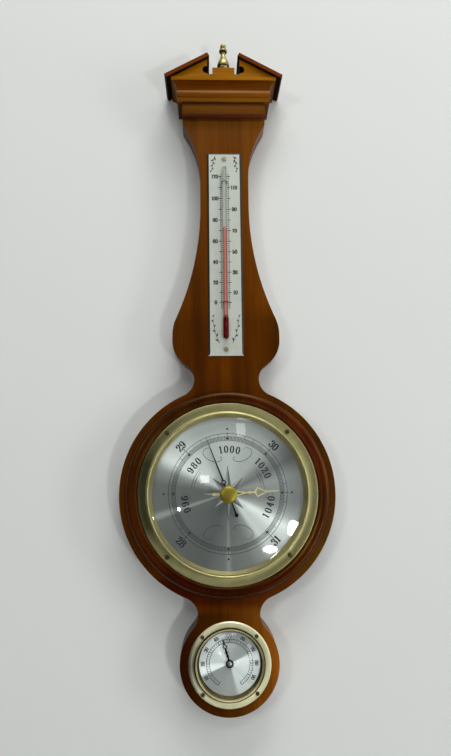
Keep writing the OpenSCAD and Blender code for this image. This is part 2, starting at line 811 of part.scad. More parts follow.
module hand_arbor() {
    half_pitch = 180 / pinion_teeth;
    turns = [for (i = [pinion_teeth - 1:-1:0]) each tooth(pinion_teeth, -90 + half_pitch * (2 * i + 1))];
    color("#9aa0a3") at_dial() {
        pin(arbor_r, plate_back + 0.2, arbor_tip_d);
        translate([0, 0, pinion_d]) linear_extrude(pinion_h) polygon(turns);
        pin(collet_r, hairspring_d - 0.5, hairspring_d + hairspring_w + 0.5);
    }
}

module toothed_sector() {
    pitch = 360 / sector_teeth;
    first = -7;
    last = 6;
    rim_r = sector_pitch_r - tooth_foot - 2.4;
    foot_r = sector_pitch_r - tooth_foot;
    a0 = 90 + (first - 0.5) * pitch;
    a1 = 90 + (last + 0.5) * pitch;
    outer = [for (i = [last:-1:first]) each tooth(sector_teeth, 90 + i * pitch)];
    color("#b59a4a") at_dial() translate([0, -centre_distance, 0]) difference() {
        union() {
            translate([0, 0, sector_d]) linear_extrude(sector_t) {
                polygon(concat(outer, [[foot_r * cos(a0), foot_r * sin(a0)]], arc([0, 0], rim_r, a0, a1, 14),
                    [[foot_r * cos(a1), foot_r * sin(a1)]]));
                for (a = [a0 + 3, (a0 + a1) / 2, a1 - 3]) {
                    rotate(a - 90) taper(2.6, 2, 0, rim_r + 1);
                }
                circle(r = 4);
                rotate(90) taper(3, 3, 0, tail_len);
                translate([-tail_len, 0]) circle(r = 1.8);
            }
            pin(3.2, sector_d - 1.2, sector_d + sector_t + 1.6);
            translate([-tail_len, 0, 0]) pin(tail_pin_r, sector_d, contact_d + 2);
        }
        pin(stud_r + run_gap, sector_d - 3, sector_d + sector_t + 3);
    }
}

module sector_stud() {
    color("#8f9699") at_dial() translate([0, -centre_distance, 0]) {
        pin(stud_r, plate_d, sector_d + sector_t + 3);
        pin(2.4, sector_d + sector_t + 1.9, sector_d + sector_t + 3);
    }
}

// The shaft lies along x. Its pad meets the capsule's post, its fork the sector's tail pin.
module rocking_shaft() {
    from = bracket_left - bracket_t;
    to = bracket_right + bracket_t;
    prong_y = tail_pin_r + fork_gap;
    prong_end = contact_d - 1;
    prong_root = contact_d + 3;
    arm_w = 2 * (prong_y + fork_t);
    color("#a8adb0") at_dial() translate([0, -centre_distance, 0]) {
        translate([from, 0, shaft_d]) rotate([0, 90, 0]) cylinder(r = shaft_r, h = to - from);
        translate([-capsule_offset - 2, 0, shaft_d - pad_t / 2]) cube([4, pad_len + 2 * post_tip_r, pad_t]);
        translate([-tail_len - 0.8, -arm_w / 2, prong_root]) cube([1.6, arm_w, shaft_d - prong_root]);
        for (y = [prong_y, -prong_y - fork_t]) {
            translate([-tail_len - 0.8, y, prong_end]) cube([1.6, fork_t, prong_root - prong_end + eps]);
        }
    }
}

module shaft_brackets() {
    color("#b59a4a") at_dial() translate([0, -centre_distance, 0]) for (x = [bracket_left, bracket_right]) {
        difference() {
            translate([x - bracket_t / 2, -bracket_w / 2, plate_d])
                cube([bracket_t, bracket_w, shaft_d + shaft_r + 1 - plate_d]);
            translate([x - bracket_t, 0, shaft_d]) rotate([0, 90, 0])
                cylinder(r = shaft_r + run_gap, h = 2 * bracket_t);
        }
    }
}

module vacuum_capsule() {
    ridges = 4;
    edge = 1.2;
    pitch = (capsule_r - 6) / ridges;
    top = plate_d + capsule_h;
    section = concat(
        [[0, plate_d], [capsule_r, plate_d], [capsule_r, plate_d + edge], [capsule_r - 1.5, plate_d + edge + 0.8],
            [capsule_r - 1.5, top - edge - 0.8], [capsule_r, top - edge], [capsule_r - 0.6, top]],
        [for (i = [1:2 * ridges - 1]) [capsule_r - 0.8 - i * pitch / 2, top - 0.9 * (i % 2)]],
        [[post_r + 1.4, top], [post_r + 1.4, collar_d], [post_r + run_gap, collar_d],
            [post_r + run_gap, post_foot_d - post_play], [0, post_foot_d - post_play]]
    );
    color("#c2b280") at_dial() translate([capsule_at[0], capsule_at[1], 0]) turned(section);
}

module capsule_post() {
    color("#9aa0a3") at_dial() translate([capsule_at[0], capsule_at[1], 0])
        turned([[0, post_foot_d], [post_r, post_foot_d], [post_r, collar_d + 0.4], [post_tip_r, collar_d + 1.2],
            [post_tip_r, post_tip_d], [0, post_tip_d]]);
}

module movement_plate() {
    color("#b8a052") at_dial() difference() {
        pin(plate_r, plate_back, plate_d);
        pin(arbor_r + run_gap, plate_back - 1, plate_d + 1);
        translate([capsule_at[0], capsule_at[1], 0]) pin(adjuster_r + run_gap, plate_back - 1, plate_d + 1);
        for (a = movement_angles) {
            rotate(a) translate([movement_circle_r, 0, 0])
                pin(movement_screw_r + screw_gap, plate_back - 1, plate_d + 1);
        }
        for (a = [-20:40:20]) {
            rotate(a) translate([0, plate_r * 0.62, 0]) pin(plate_r * 0.14, plate_back - 1, plate_d + 1);
        }
    }
}

module plate_spacers() {
    color("#8f9699") at_dial() for (a = movement_angles) {
        rotate(a) translate([movement_circle_r, 0, 0])
            tube(movement_screw_r + 2, movement_screw_r + screw_gap, floor_d, plate_back);
    }
}

module movement_screws() {
    len = plate_d - case_back - 0.2;
    color("#7f8488") at_dial() for (a = movement_angles) {
        rotate(a) translate([movement_circle_r, 0, 0])
            slotted_screw(2.6, 1.4, movement_screw_r, len, plate_d, 20);
    }
}

module movement_bridge() {
    pillar_x = centre_distance * 0.62;
    color("#b8a052") at_dial() difference() {
        union() {
            translate([-pillar_x - 4, -4.5, bridge_d]) cube([2 * pillar_x + 8, 9, bridge_t]);
            for (s = [-1, 1]) {
                translate([s * pillar_x, 0, 0]) pin(2.6, plate_d, bridge_d + eps);
            }
        }
        pin(arbor_r + run_gap, bridge_d - 1, bridge_d + bridge_t + 1);
    }
}

// Outline of a flat spiral ribbon
function spiral(r0, r1, turns, t) =
    let (n = 24 * turns)
    let (at = function (i, side) let (a = 360 * turns * i / n, r = r0 + (r1 - r0) * i / n + side * t / 2)
        [r * cos(a), r * sin(a)])
    concat([for (i = [0:n]) at(i, 1)], [for (i = [n:-1:0]) at(i, -1)]);

module hairspring() {
    color("#6f7f9a") at_dial() translate([0, 0, hairspring_d]) linear_extrude(hairspring_w)
        polygon(spiral(collet_r + fit_gap, hairspring_r, hairspring_turns, hairspring_t));
}

module hairspring_stud() {
    x = hairspring_r + hairspring_t / 2 + hairspring_stud_r + run_gap;
    color("#8f9699") at_dial() translate([x, 0, 0]) pin(hairspring_stud_r, hairspring_d - 0.4, bridge_d);
}

module adjusting_screw() {
    from = case_back + 0.3;
    color("#8f9699") at_dial() translate([capsule_at[0], capsule_at[1], 0]) difference() {
        union() {
            pin(adjuster_head_r, from, from + 1.7);
            pin(adjuster_r, from, plate_d - 0.2);
        }
        translate([0, 0, from]) cube([3 * adjuster_head_r, 1, 1.6], center = true);
    }
}

module hygrometer_bezel() {
    flange = [[hygro_r, board_t + 1], [hygro_r - 0.8, hygro_flange_d], [hygro_r - 5.6, hygro_flange_d],
        [hygro_r - 6, board_t + 0.9]];
    section = concat(
        [[hygro_skirt_in_r, hygro_rim_d - 3], [hygro_skirt_out_r, hygro_rim_d - 3],
            [hygro_skirt_out_r, board_t], [hygro_r, board_t]],
        flange,
        [[hygro_r - 6.5, board_t + 0.9], [hygro_r - 6.6, board_t + 2.9], [hygro_r - 7.2, board_t + 3.2],
            [hygro_lip_r + 0.5, board_t + 2.7], [hygro_lip_r, hygro_lip_d], [hygro_skirt_in_r, hygro_lip_d]]
    );
    color("#b9a565") at_hygro() difference() {
        turned(section);
        on_diagonals(hygro_screw_circle_r) pin(hygro_screw_r + screw_gap, board_t - 1, board_t + 4);
    }
}

module hygrometer_screws() {
    color("#4d4427") at_hygro() on_diagonals(hygro_screw_circle_r)
        slotted_screw(hygro_head_r, hygro_head_h, hygro_screw_r, hygro_screw_len, hygro_flange_d, 70);
}

module hygrometer_glass() {
    color("#dfe8ea", 0.35) at_hygro() pin(hygro_glass_r, board_t, hygro_lip_d);
}

module hygrometer_spacer() {
    section = [[hygro_lip_r - hygro_slope, hygro_dial_d], [hygro_glass_r, hygro_dial_d],
        [hygro_glass_r, board_t], [hygro_lip_r, board_t]];
    color("#c9ab5c") at_hygro() turned(section);
}

module hygrometer_dial() {
    color("#c9ced0") at_hygro() tube(hygro_glass_r, 1.6, hygro_rim_d, hygro_dial_d);
}

module hygrometer_case() {
    inner = hygro_case_r - hygro_wall;
    section = [[hygro_arbor_r + run_gap, hygro_case_d], [hygro_case_r, hygro_case_d],
        [hygro_case_r, hygro_rim_d], [inner, hygro_rim_d], [inner, hygro_floor_d],
        [hygro_arbor_r + run_gap, hygro_floor_d]];
    color("#8d8f8c") at_hygro() difference() {
        turned(section);
        for (a = [30:60:330]) {
            rotate(a) translate([inner * 0.66, 0, 0]) pin(2, hygro_case_d - 1, hygro_floor_d + 1);
        }
    }
}

module hygrometer_bush() {
    color("#a98f45") at_hygro()
        tube(3, hygro_arbor_r + run_gap, hygro_floor_d, hygro_floor_d + hygro_bush_h);
}

module hygrometer_arbor() {
    head_d = hygro_hand_d + hygro_hand_t;
    collet = coil_inner_r - coil_t / 2 - run_gap;
    head = [for (a = [0:15:90]) [2.5 * cos(a), head_d + 1 * sin(a)]];
    section = concat(
        [[0, hygro_case_d + 0.2], [hygro_arbor_r, hygro_case_d + 0.2], [hygro_arbor_r, coil_d - 0.4],
            [collet, coil_d - 0.4], [collet, coil_d + coil_w + 0.4], [hygro_arbor_r, coil_d + coil_w + 0.4],
            [hygro_arbor_r, head_d]],
        head
    );
    color("#c4c8ca") at_hygro() turned(section);
}

module hygrometer_hand() {
    h = hygro_hand_len;
    color("#15171a") at_hygro() rotate(hygro_angle) translate([0, 0, hygro_hand_d])
        linear_extrude(hygro_hand_t) difference() {
            union() {
                circle(r = 3.8);
                taper(1.6, 1.6, 3, h * 0.62);
                translate([0, h * 0.3]) circle(r = 1.3);
                translate([0, h * 0.44]) circle(r = 1.3);
                open_diamond(h * 0.54, h * 0.84, h * 0.095, 0.9, 0.45);
                taper(2, 0.3, h * 0.8, h);
            }
            circle(r = hygro_arbor_r);
        }
}

module humidity_coil() {
    color("#b07d3a") at_hygro() translate([0, 0, coil_d]) linear_extrude(coil_w)
        polygon(spiral(coil_inner_r, coil_outer_r, coil_turns, coil_t));
}

module coil_post() {
    x = coil_outer_r + coil_t / 2 + coil_post_r + run_gap;
    color("#8f9699") at_hygro() translate([x, 0, 0]) pin(coil_post_r, hygro_floor_d, coil_d + coil_w + 0.5);
}

module thermometer_plate() {
    w = plate_half_w;
    h = scale_h / 2;
    b = scale_bevel;
    t = scale_t;
    edge = t * 0.35;
    color("#d9dcda") on_wall() translate([0, scale_y, board_t]) difference() {
        intersection() {
            rotate([-90, 0, 0]) linear_extrude(2 * h, center = true)
                polygon([[-w, 0], [w, 0], [w, -edge], [w - b, -t], [-w + b, -t], [-w, -edge]]);
            rotate([0, -90, 0]) linear_extrude(2 * w, center = true)
                polygon([[0, -h], [0, h], [edge, h], [t, h - b], [t, -h + b], [edge, -h]]);
        }
        for (y = scale_screw_ys) {
            translate([0, y - scale_y, 0]) pin(scale_screw_r + screw_gap, -1, t + 1);
        }
        for (y = staple_ys, s = [-1, 1]) {
            translate([s * staple_bend_r, y - scale_y, 0]) pin(staple_wire_r + screw_gap, -1, t + 1, $fn = small_fn);
        }
    }
}

// Turned shape along +y from radius and height
module upright(section) {
    on_wall() translate([0, tube_y, tube_d]) rotate([-90, 0, 0]) turned(section);
}

// Half section of a bulb with a rounded foot
function bulb_section(r, len) =
    concat(arc([0, r], r, -90, 0, 6), [[r, len - tube_neck]]);

module thermometer_tube() {
    inner_r = bulb_r - bulb_wall;
    outside = concat(bulb_section(bulb_r, bulb_len), [[stem_r, bulb_len + tube_neck], [stem_r, tube_len - 1],
        [stem_r * 0.5, tube_len], [0, tube_len]]);
    inside = concat(bulb_section(inner_r, bulb_len - bulb_wall), [[bore_r, bulb_len], [bore_r, tube_len - 3],
        [0, tube_len - 3]]);
    color("#e6eef0", 0.35) difference() {
        upright(outside);
        translate([0, 0, bulb_wall]) upright(inside);
    }
}

module spirit_reservoir() {
    r = bulb_r - bulb_wall - run_gap;
    color("#8f1420") translate([0, 0, bulb_wall + run_gap])
        upright(concat(bulb_section(r, bulb_len - bulb_wall), [[bore_r - run_gap, bulb_len - 0.4],
            [0, bulb_len - 0.4]]));
}

column_foot = bulb_len + bulb_wall;
column_top = bulb_len + column_len;

module spirit_column() {
    r = bore_r - run_gap;
    color("#d0303a") upright([[0, column_foot], [r, column_foot], [r, column_top - meniscus_h],
        [0, column_top - meniscus_h]]);
}

module spirit_meniscus() {
    r = bore_r - run_gap;
    color("#d0303a") upright([[0, column_top - meniscus_h], [r, column_top - meniscus_h], [r, column_top],
        [0, column_top - 0.3]]);
}

module tube_staples() {
    color("#b9bcb8") on_wall() for (y = staple_ys) {
        translate([0, y, 0]) {
            for (s = [-1, 1]) {
                translate([s * staple_bend_r, 0, 0]) pin(staple_wire_r, board_t + 0.2, tube_d, $fn = small_fn);
            }
            translate([0, 0, tube_d]) rotate([90, 0, 0]) rotate_extrude(angle = 180)
                translate([staple_bend_r, 0]) circle(r = staple_wire_r, $fn = small_fn);
        }
    }
}

module thermometer_screws() {
    color("#8c9094") on_wall() for (y = scale_screw_ys) {
        translate([0, y, 0])
            slotted_screw(scale_head_r, scale_head_h, scale_screw_r, scale_screw_len, scale_d, 35);
    }
}

module hanger_plate() {
    color("#a9a48f") on_wall() difference() {
        translate([-hanger_w / 2, -hanger_len / 2, 0]) cube([hanger_w, hanger_len, hanger_t]);
        pin(keyhole_r, -1, hanger_t + 1);
        translate([0, slot_rise, 0]) pin(slot_r, -1, hanger_t + 1);
        translate([-slot_r, 0, -1]) cube([2 * slot_r, slot_rise, hanger_t + 2]);
        for (s = [-1, 1]) {
            translate([0, s * hanger_screw_y, 0]) pin(hanger_head_r + screw_gap, -1, hanger_t + 1);
        }
    }
}

module hanger_screws() {
    color("#8f9699") on_wall() for (s = [-1, 1]) {
        translate([0, s * hanger_screw_y, 0]) difference() {
            union() {
                pin(hanger_head_r, 0.1, hanger_t);
                pin(hanger_screw_r, hanger_t - eps, hanger_screw_len);
            }
            cube([3 * hanger_head_r, 0.9, 1.2], center = true);
        }
    }
}

backboard();
frieze();
cornice_front();
cornice_left_return();
cornice_right_return();
pediment();
left_roof_board();
right_roof_board();
finial();
dial_surround();
barometer_bezel();
bezel_screws();
barometer_glass();
reflector_ring();
barometer_dial();
barometer_case();
glass_bush();
set_knob();
set_hand();
barometer_hand();
hand_arbor();
toothed_sector();
sector_stud();
rocking_shaft();
shaft_brackets();
vacuum_capsule();
capsule_post();
movement_plate();
plate_spacers();
movement_screws();
movement_bridge();
hairspring();
hairspring_stud();
adjusting_screw();
hygrometer_bezel();
hygrometer_screws();
hygrometer_glass();
hygrometer_spacer();
hygrometer_dial();
hygrometer_case();
hygrometer_bush();
hygrometer_arbor();
hygrometer_hand();
humidity_coil();
coil_post();
thermometer_plate();
thermometer_tube();
spirit_reservoir();
spirit_column();
spirit_meniscus();
tube_staples();
thermometer_screws();
hanger_plate();
hanger_screws();
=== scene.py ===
"""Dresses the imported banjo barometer: woodwork, barometer, hygrometer, thermometer and their studio."""

import json
import logging
import math
from collections import Counter
from dataclasses import dataclass, field, replace
from enum import Enum
from typing import Callable, Optional, Protocol, Sequence, Union

import bmesh
import bpy
from mathutils import Matrix, Vector

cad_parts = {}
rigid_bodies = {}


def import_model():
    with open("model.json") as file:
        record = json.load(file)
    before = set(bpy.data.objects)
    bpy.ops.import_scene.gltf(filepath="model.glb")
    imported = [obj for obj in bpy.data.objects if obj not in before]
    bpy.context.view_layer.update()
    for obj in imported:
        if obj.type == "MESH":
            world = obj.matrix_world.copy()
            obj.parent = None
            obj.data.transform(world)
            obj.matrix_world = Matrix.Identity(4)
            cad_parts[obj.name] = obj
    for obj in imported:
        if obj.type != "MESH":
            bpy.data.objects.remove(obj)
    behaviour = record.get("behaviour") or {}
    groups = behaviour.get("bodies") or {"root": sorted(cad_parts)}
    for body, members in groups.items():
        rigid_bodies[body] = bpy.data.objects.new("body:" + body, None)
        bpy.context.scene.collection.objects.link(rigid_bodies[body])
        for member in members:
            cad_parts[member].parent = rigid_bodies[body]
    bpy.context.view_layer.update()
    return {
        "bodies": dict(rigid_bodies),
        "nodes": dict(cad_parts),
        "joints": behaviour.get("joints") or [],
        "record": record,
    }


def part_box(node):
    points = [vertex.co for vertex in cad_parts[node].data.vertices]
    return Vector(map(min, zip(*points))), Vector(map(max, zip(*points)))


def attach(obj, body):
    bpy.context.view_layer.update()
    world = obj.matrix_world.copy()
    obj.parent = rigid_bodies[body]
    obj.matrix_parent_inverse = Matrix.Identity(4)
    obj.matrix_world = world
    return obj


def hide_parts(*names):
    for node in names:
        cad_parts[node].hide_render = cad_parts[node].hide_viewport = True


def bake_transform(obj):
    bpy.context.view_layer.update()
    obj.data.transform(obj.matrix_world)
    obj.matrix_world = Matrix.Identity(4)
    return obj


log = logging.getLogger("barometer")

Node = bpy.types.Node
Piece = bpy.types.Object
Material = bpy.types.Material
Face = bpy.types.MeshPolygon
Mesh = bmesh.types.BMesh
Colour = tuple[float, float, float]
Point = tuple[float, float]
Corner = tuple[float, float, float]
Curve = tuple[Point, ...]

MM = 0.001
WELD = 0.002 * MM
SIDES = (-1.0, 1.0)
BLACK: Colour = (0.0, 0.0, 0.0)
WHITE: Colour = (1.0, 1.0, 1.0)
# Degrees above which the edges of small turned pieces stay sharp.
TURNED = 40.0


class Grain(Enum):
    """Row axis along which a wooden piece's grain runs."""

    ACROSS = "x"
    THROUGH = "y"
    UP = "z"


class Brushing(Enum):
    """How a metal surface was finished."""

    PLAIN = "plain"
    SPUN = "spun"


class LampShape(Enum):
    """Outline of a lamp."""

    SQUARE = "RECTANGLE"
    ROUND = "ELLIPSE"


class Graph:
    """A material's node tree with short calls to add and join nodes."""

    def __init__(self, name: str) -> None:
        """Starts an empty tree.

        Args:
            name: The material's name.
        """
        self.material = bpy.data.materials.new(name)
        self.material.use_nodes = True
        self.tree = self.material.node_tree
        self.tree.nodes.clear()

    def add(self, kind: str, sockets: Optional[dict] = None, **settings: object) -> Node:
        """Adds a node.

        Args:
            kind: Blender's node type without its ShaderNode prefix.
            sockets: Values of input sockets by name or number.
            **settings: Attributes of the node.

        Returns:
            The new node.
        """
        node = self.tree.nodes.new("ShaderNode" + kind)
        for key, value in settings.items():
            setattr(node, key, value)
        for key, value in (sockets or {}).items():
            node.inputs[key].default_value = value
        return node

    def join(self, source: Node, out: object, target: Node, into: object) -> None:
        """Links an output socket to an input socket."""
        self.tree.links.new(source.outputs[out], target.inputs[into])

    def after(
        self,
        source: Node,
        out: object,
        kind: str,
        into: object,
        sockets: Optional[dict] = None,
        **settings: object,
    ) -> Node:
        """Adds a node that takes another's output.

        Args:
            source: The node before it.
            out: That node's output socket.
            kind: The new node's type, as in add.
            into: Its input socket that takes the output.
            sockets: Values of its other input sockets.
            **settings: Attributes of the node.

        Returns:
            The new node.
        """
        node = self.add(kind, sockets, **settings)
        self.join(source, out, node, into)
        return node

    def ramp(self, source: Node, out: object, stops: Sequence[tuple[float, Colour]]) -> Node:
        """Adds a colour ramp after a node.

        Args:
            source: The node that drives the ramp.
            out: Its output socket.
            stops: Positions and colours.

        Returns:
            The ramp node.
        """
        node = self.after(source, out, "ValToRGB", "Fac")
        elements = node.color_ramp.elements
        while len(elements) < len(stops):
            elements.new(0.5)
        for element, (place, colour) in zip(elements, stops):
            element.position = place
            element.color = (*colour, 1.0)
        return node

    def place(self, kind: str, into: object, sockets: Optional[dict] = None, **settings: object) -> Node:
        """Adds a node that takes the place in the row frame, with the other arguments of after."""
        return self.after(self.add("TexCoord"), "Object", kind, into, sockets, **settings)

    def noise(self, scale: Corner, detail: float, roughness: float, distortion: float = 0.0) -> Node:
        """Adds a noise texture in the row frame.

        Args:
            scale: Cycles per metre along each axis.
            detail: Octaves.
            roughness: Weight of the finer octaves.
            distortion: How far the pattern is bent.

        Returns:
            The noise node.
        """
        mapping = self.place("Mapping", "Vector", {"Scale": scale})
        form = {"Scale": 1.0, "Detail": detail, "Roughness": roughness, "Distortion": distortion}
        return self.after(mapping, "Vector", "TexNoise", "Vector", form)

    def span(self, source: Node, out: object, low: float, high: float) -> Node:
        """Adds a node that maps 0..1 onto a range and returns it."""
        return self.after(source, out, "MapRange", "Value", {"To Min": low, "To Max": high})

    def share(self, source: Node, out: object, low: float, high: float) -> Node:
        """Adds a node that maps a range onto 0..1 and returns it."""
        return self.after(source, out, "MapRange", "Value", {"From Min": low, "From Max": high})

    def bump(self, source: Node, out: object, strength: float, depth: float) -> Node:
        """Adds a bump node driven by a height and returns it."""
        return self.after(source, out, "Bump", "Height", {"Strength": strength, "Distance": depth})

    def multiplied(self, tone: Node, out: object, share: Node, mask: Union[Node, float] = 1.0) -> Node:
        """Adds a node that multiplies a tone by a share.

        Args:
            tone: The node that gives the tone.
            out: Its output socket.
            share: A ramp that gives the share.
            mask: How far the share counts, or a node whose first output says where it does.

        Returns:
            The mix node, whose result is its output 2.
        """
        mix = self.after(tone, out, "Mix", 6, data_type="RGBA", blend_type="MULTIPLY")
        self.join(share, "Color", mix, 7)
        if isinstance(mask, float):
            mix.inputs[0].default_value = mask
        else:
            self.join(mask, 0, mix, 0)
        return mix

    def finish(self, shader: Node, out: object = 0) -> Material:
        """Joins the surface to the output and returns the material."""
        self.after(shader, out, "OutputMaterial", "Surface")
        return self.material


class Finish(Protocol):
    """What every finish has: a name and a way to make its material."""

    name: str

    def material(self) -> Material:
        """Builds the material."""


@dataclass(frozen=True)
class Shade:
    """A soft-edged stretch of a wooden piece with painted shade and painted light: its colour is made darker
    or lighter than the rest.
    """

    heights: Point
    sides: tuple[Colour, Colour, Colour]
    span: Point = (-0.05, 0.05)
    soft: float = 0.02

    def lay(self, g: Graph, tone: Node) -> Node:
        """Multiplies a tone by the shares of painted shade and light at the left, the middle and the right.

        Args:
            g: The material's graph.
            tone: The node whose output 2 gives the tone.

        Returns:
            The node whose output 2 gives the shaded tone.
        """
        split = g.place("SeparateXYZ", 0)
        across = g.share(split, "X", *self.span)
        share = g.ramp(across, "Result", list(zip((0.0, 0.5, 1.0), self.sides)))
        low, high = self.heights[0] - self.soft, self.heights[1] + self.soft
        rise = g.share(split, "Z", low, high)
        edge = self.soft / (high - low)
        stops = zip((0.0, edge, 1.0 - edge, 1.0), (BLACK, WHITE, WHITE, BLACK))
        return g.multiplied(tone, 2, share, g.ramp(rise, "Result", list(stops)))


@dataclass(frozen=True)
class WoodFinish:
    """Lacquered wood with streaky grain and fine pores, and stretches of painted shade and painted light."""

    name: str
    dark: Colour
    middle: Colour
    light: Colour
    grain: Grain
    roughness: float = 0.34
    gloss: float = 0.4
    gloss_tint: Colour = (1.0, 0.6, 0.1)
    shades: tuple[Shade, ...] = ()
    streaks: Point = (60.0, 3.0)
    pores: Point = (1100.0, 26.0)
    pore_depth: float = 0.55
    clouds: Corner = (9.0, 9.0, 7.0)

    def _drawn_out(self, across: float, along: float) -> Corner:
        """Scale of a texture that is drawn out along the grain."""
        scales = {grain: along if grain is self.grain else across for grain in Grain}
        return (scales[Grain.ACROSS], scales[Grain.THROUGH], scales[Grain.UP])

    def material(self) -> Material:
        """Builds the material.

        Returns:
            The wood material.
        """
        g = Graph(self.name)
        streaks = g.noise(self._drawn_out(*self.streaks), 4.0, 0.55, 0.5)
        tone = g.ramp(streaks, "Fac", [(0.28, self.dark), (0.5, self.middle), (0.74, self.light)])
        pores = g.noise(self._drawn_out(*self.pores), 3.0, 0.6)
        pits = g.ramp(pores, "Fac", [(0.34, (0.62, 0.56, 0.5)), (0.52, WHITE)])
        clouds = g.noise(self.clouds, 2.0, 0.5)
        mottle = g.ramp(clouds, "Fac", [(0.3, (0.84, 0.82, 0.8)), (0.7, (1.08, 1.08, 1.08))])
        shaded = g.multiplied(g.multiplied(tone, "Color", pits, self.pore_depth), 2, mottle)
        # Painted shade and painted light, laid over the grain's tone.
        for shade in self.shades:
            shaded = shade.lay(g, shaded)
        rough = g.span(pores, "Fac", self.roughness + 0.12, self.roughness - 0.08)
        relief = g.bump(pores, "Fac", 0.12, 0.2 * MM)
        gloss = {"Specular IOR Level": self.gloss, "Specular Tint": (*self.gloss_tint, 1.0), "IOR": 1.5}
        shader = g.after(shaded, 2, "BsdfPrincipled", "Base Color", gloss)
        g.join(rough, "Result", shader, "Roughness")
        g.join(relief, "Normal", shader, "Normal")
        return g.finish(shader)


@dataclass(frozen=True)
class Glints:
    """Fans of painted light and painted shade laid into a spun metal's colour round its centre."""

    centre: Point
    fans: Curve
    inner: float = 0.0
    soft: float = 0.3 * MM

    def distance(self, g: Graph) -> tuple[Node, Node]:
        """Adds the place seen from the centre.

        Args:
            g: The material's graph.

        Returns:
            The node of the flat place, and the node whose Value is its length in metres.
        """
        middle_point = (self.centre[0], 0.0, self.centre[1])
        moved = g.place("VectorMath", 0, {1: middle_point}, operation="SUBTRACT")
        flat = g.after(moved, "Vector", "VectorMath", 0, {1: (1.0, 0.0, 1.0)}, operation="MULTIPLY")
        return flat, g.after(flat, "Vector", "VectorMath", 0, operation="LENGTH")

    def lay(self, g: Graph, tone: Node) -> Node:
        """Multiplies a tone by the painted fans of light and shade outside the inner radius.

        Args:
            g: The material's graph.
            tone: The ramp that gives the tone.

        Returns:
            The node whose output 2 gives the fanned tone.
        """
        flat, far = self.distance(g)
        split = g.after(flat, "Vector", "SeparateXYZ", 0)
        angle = g.after(split, "X", "Math", 0, operation="ARCTAN2")
        g.join(split, "Z", angle, 1)
        turn = g.share(angle, 0, -math.pi, math.pi)
        share = g.ramp(turn, "Result", [(0.5 + a / 360.0, (s, s, s)) for a, s in self.fans])
        outside = g.share(far, "Value", self.inner - self.soft, self.inner + self.soft)
        return g.multiplied(tone, "Color", share, outside)


@dataclass(frozen=True)
class MetalFinish:
    """Metal with tarnish clouds, fine scratches, an optional spun grain and optional painted fans of light
    and shade.
    """

    name: str
    bright: Colour
    dull: Colour
    roughness: float
    brushing: Brushing = Brushing.PLAIN
    anisotropy: float = 0.0
    metallic: float = 1.0
    clouds: float = 60.0
    scratches: float = 900.0
    glints: Optional[Glints] = None

    def material(self) -> Material:
        """Builds the material.

        Returns:
            The metal material.
        """
        g = Graph(self.name)
        cloud = g.noise((self.clouds,) * 3, 4.0, 0.6)
        tone = g.ramp(cloud, "Fac", [(0.32, self.dull), (0.62, self.bright)])
        fine = g.noise((self.scratches,) * 3, 3.0, 0.6)
        rough = g.span(cloud, "Fac", self.roughness + 0.08, max(self.roughness - 0.06, 0.03))
        relief = g.bump(fine, "Fac", 0.05, 0.05 * MM)
        shader = g.add("BsdfPrincipled", {"Metallic": self.metallic, "Anisotropic": self.anisotropy})
        # Painted fans of light and shade in the base colour, if the finish has them.
        if self.glints:
            g.join(self.glints.lay(g, tone), 2, shader, "Base Color")
        else:
            g.join(tone, "Color", shader, "Base Color")
        g.join(rough, "Result", shader, "Roughness")
        g.join(relief, "Normal", shader, "Normal")
        if self.brushing is Brushing.SPUN:
            tangent = g.add("Tangent", direction_type="RADIAL", axis="Y")
            g.join(tangent, "Tangent", shader, "Tangent")
        return g.finish(shader)


@dataclass(frozen=True)
class SpunDialFinish:
    """Silvered dial turned on a lathe: fine rings, spun highlights and painted fans of light and shade round
    its centre.
    """

    name: str
    bright: Colour
    dull: Colour
    metallic: float
    glints: Glints
    roughness: float = 0.4
    rings: float = 2600.0
    anisotropy: float = 1.0
    rotation: float = 0.25

    def material(self) -> Material:
        """Builds the material.

        Returns:
            The dial material.
        """
        g = Graph(self.name)
        rings = g.add("TexNoise", {"Scale": self.rings, "Detail": 2.0}, noise_dimensions="1D")
        g.join(self.glints.distance(g)[1], "Value", rings, "W")
        tone = g.ramp(rings, "Fac", [(0.35, self.dull), (0.65, self.bright)])
        rough = g.span(rings, "Fac", self.roughness + 0.05, self.roughness - 0.05)
        turned = {"Metallic": self.metallic, "Anisotropic": self.anisotropy}
        turned["Anisotropic Rotation"] = self.rotation
        tangent = g.add("Tangent", direction_type="RADIAL", axis="Y")
        shader = g.after(tangent, "Tangent", "BsdfPrincipled", "Tangent", turned)
        # Painted fans of light and shade in the base colour.
        g.join(self.glints.lay(g, tone), 2, shader, "Base Color")
        g.join(rough, "Result", shader, "Roughness")
        return g.finish(shader)


@dataclass(frozen=True)
class GlassFinish:
    """Thin clear glass: what is behind it shows straight through, with sharp reflections on its outside."""

    name: str
    tint: Colour = (0.97, 0.985, 0.98)
    facing_share: float = 0.05
    roughness: float = 0.02
    smears: float = 45.0

    def material(self) -> Material:
        """Builds the material.

        Returns:
            The glass material.
        """
        g = Graph(self.name)
        smear = g.noise((self.smears,) * 3, 3.0, 0.5)
        tone = g.ramp(smear, "Fac", [(0.3, tuple(0.985 * c for c in self.tint)), (0.7, self.tint)])
        clear = g.after(tone, "Color", "BsdfTransparent", "Color")
        gloss = g.add("BsdfGlossy", {"Color": (*WHITE, 1.0), "Roughness": self.roughness})
        edge = g.add("LayerWeight", {"Blend": 0.5})
        rise = g.after(edge, "Facing", "Math", 0, {1: 5.0}, operation="POWER")
        share = g.span(rise, 0, self.facing_share, 1.0)
        outside = g.after(g.add("NewGeometry"), "Backfacing", "Math", 1, {0: 1.0}, operation="SUBTRACT")
        kept = g.after(share, "Result", "Math", 0, operation="MULTIPLY")
        g.join(outside, 0, kept, 1)
        mix = g.after(kept, 0, "MixShader", 0)
        g.join(clear, 0, mix, 1)
        g.join(gloss, 0, mix, 2)
        return g.finish(mix)


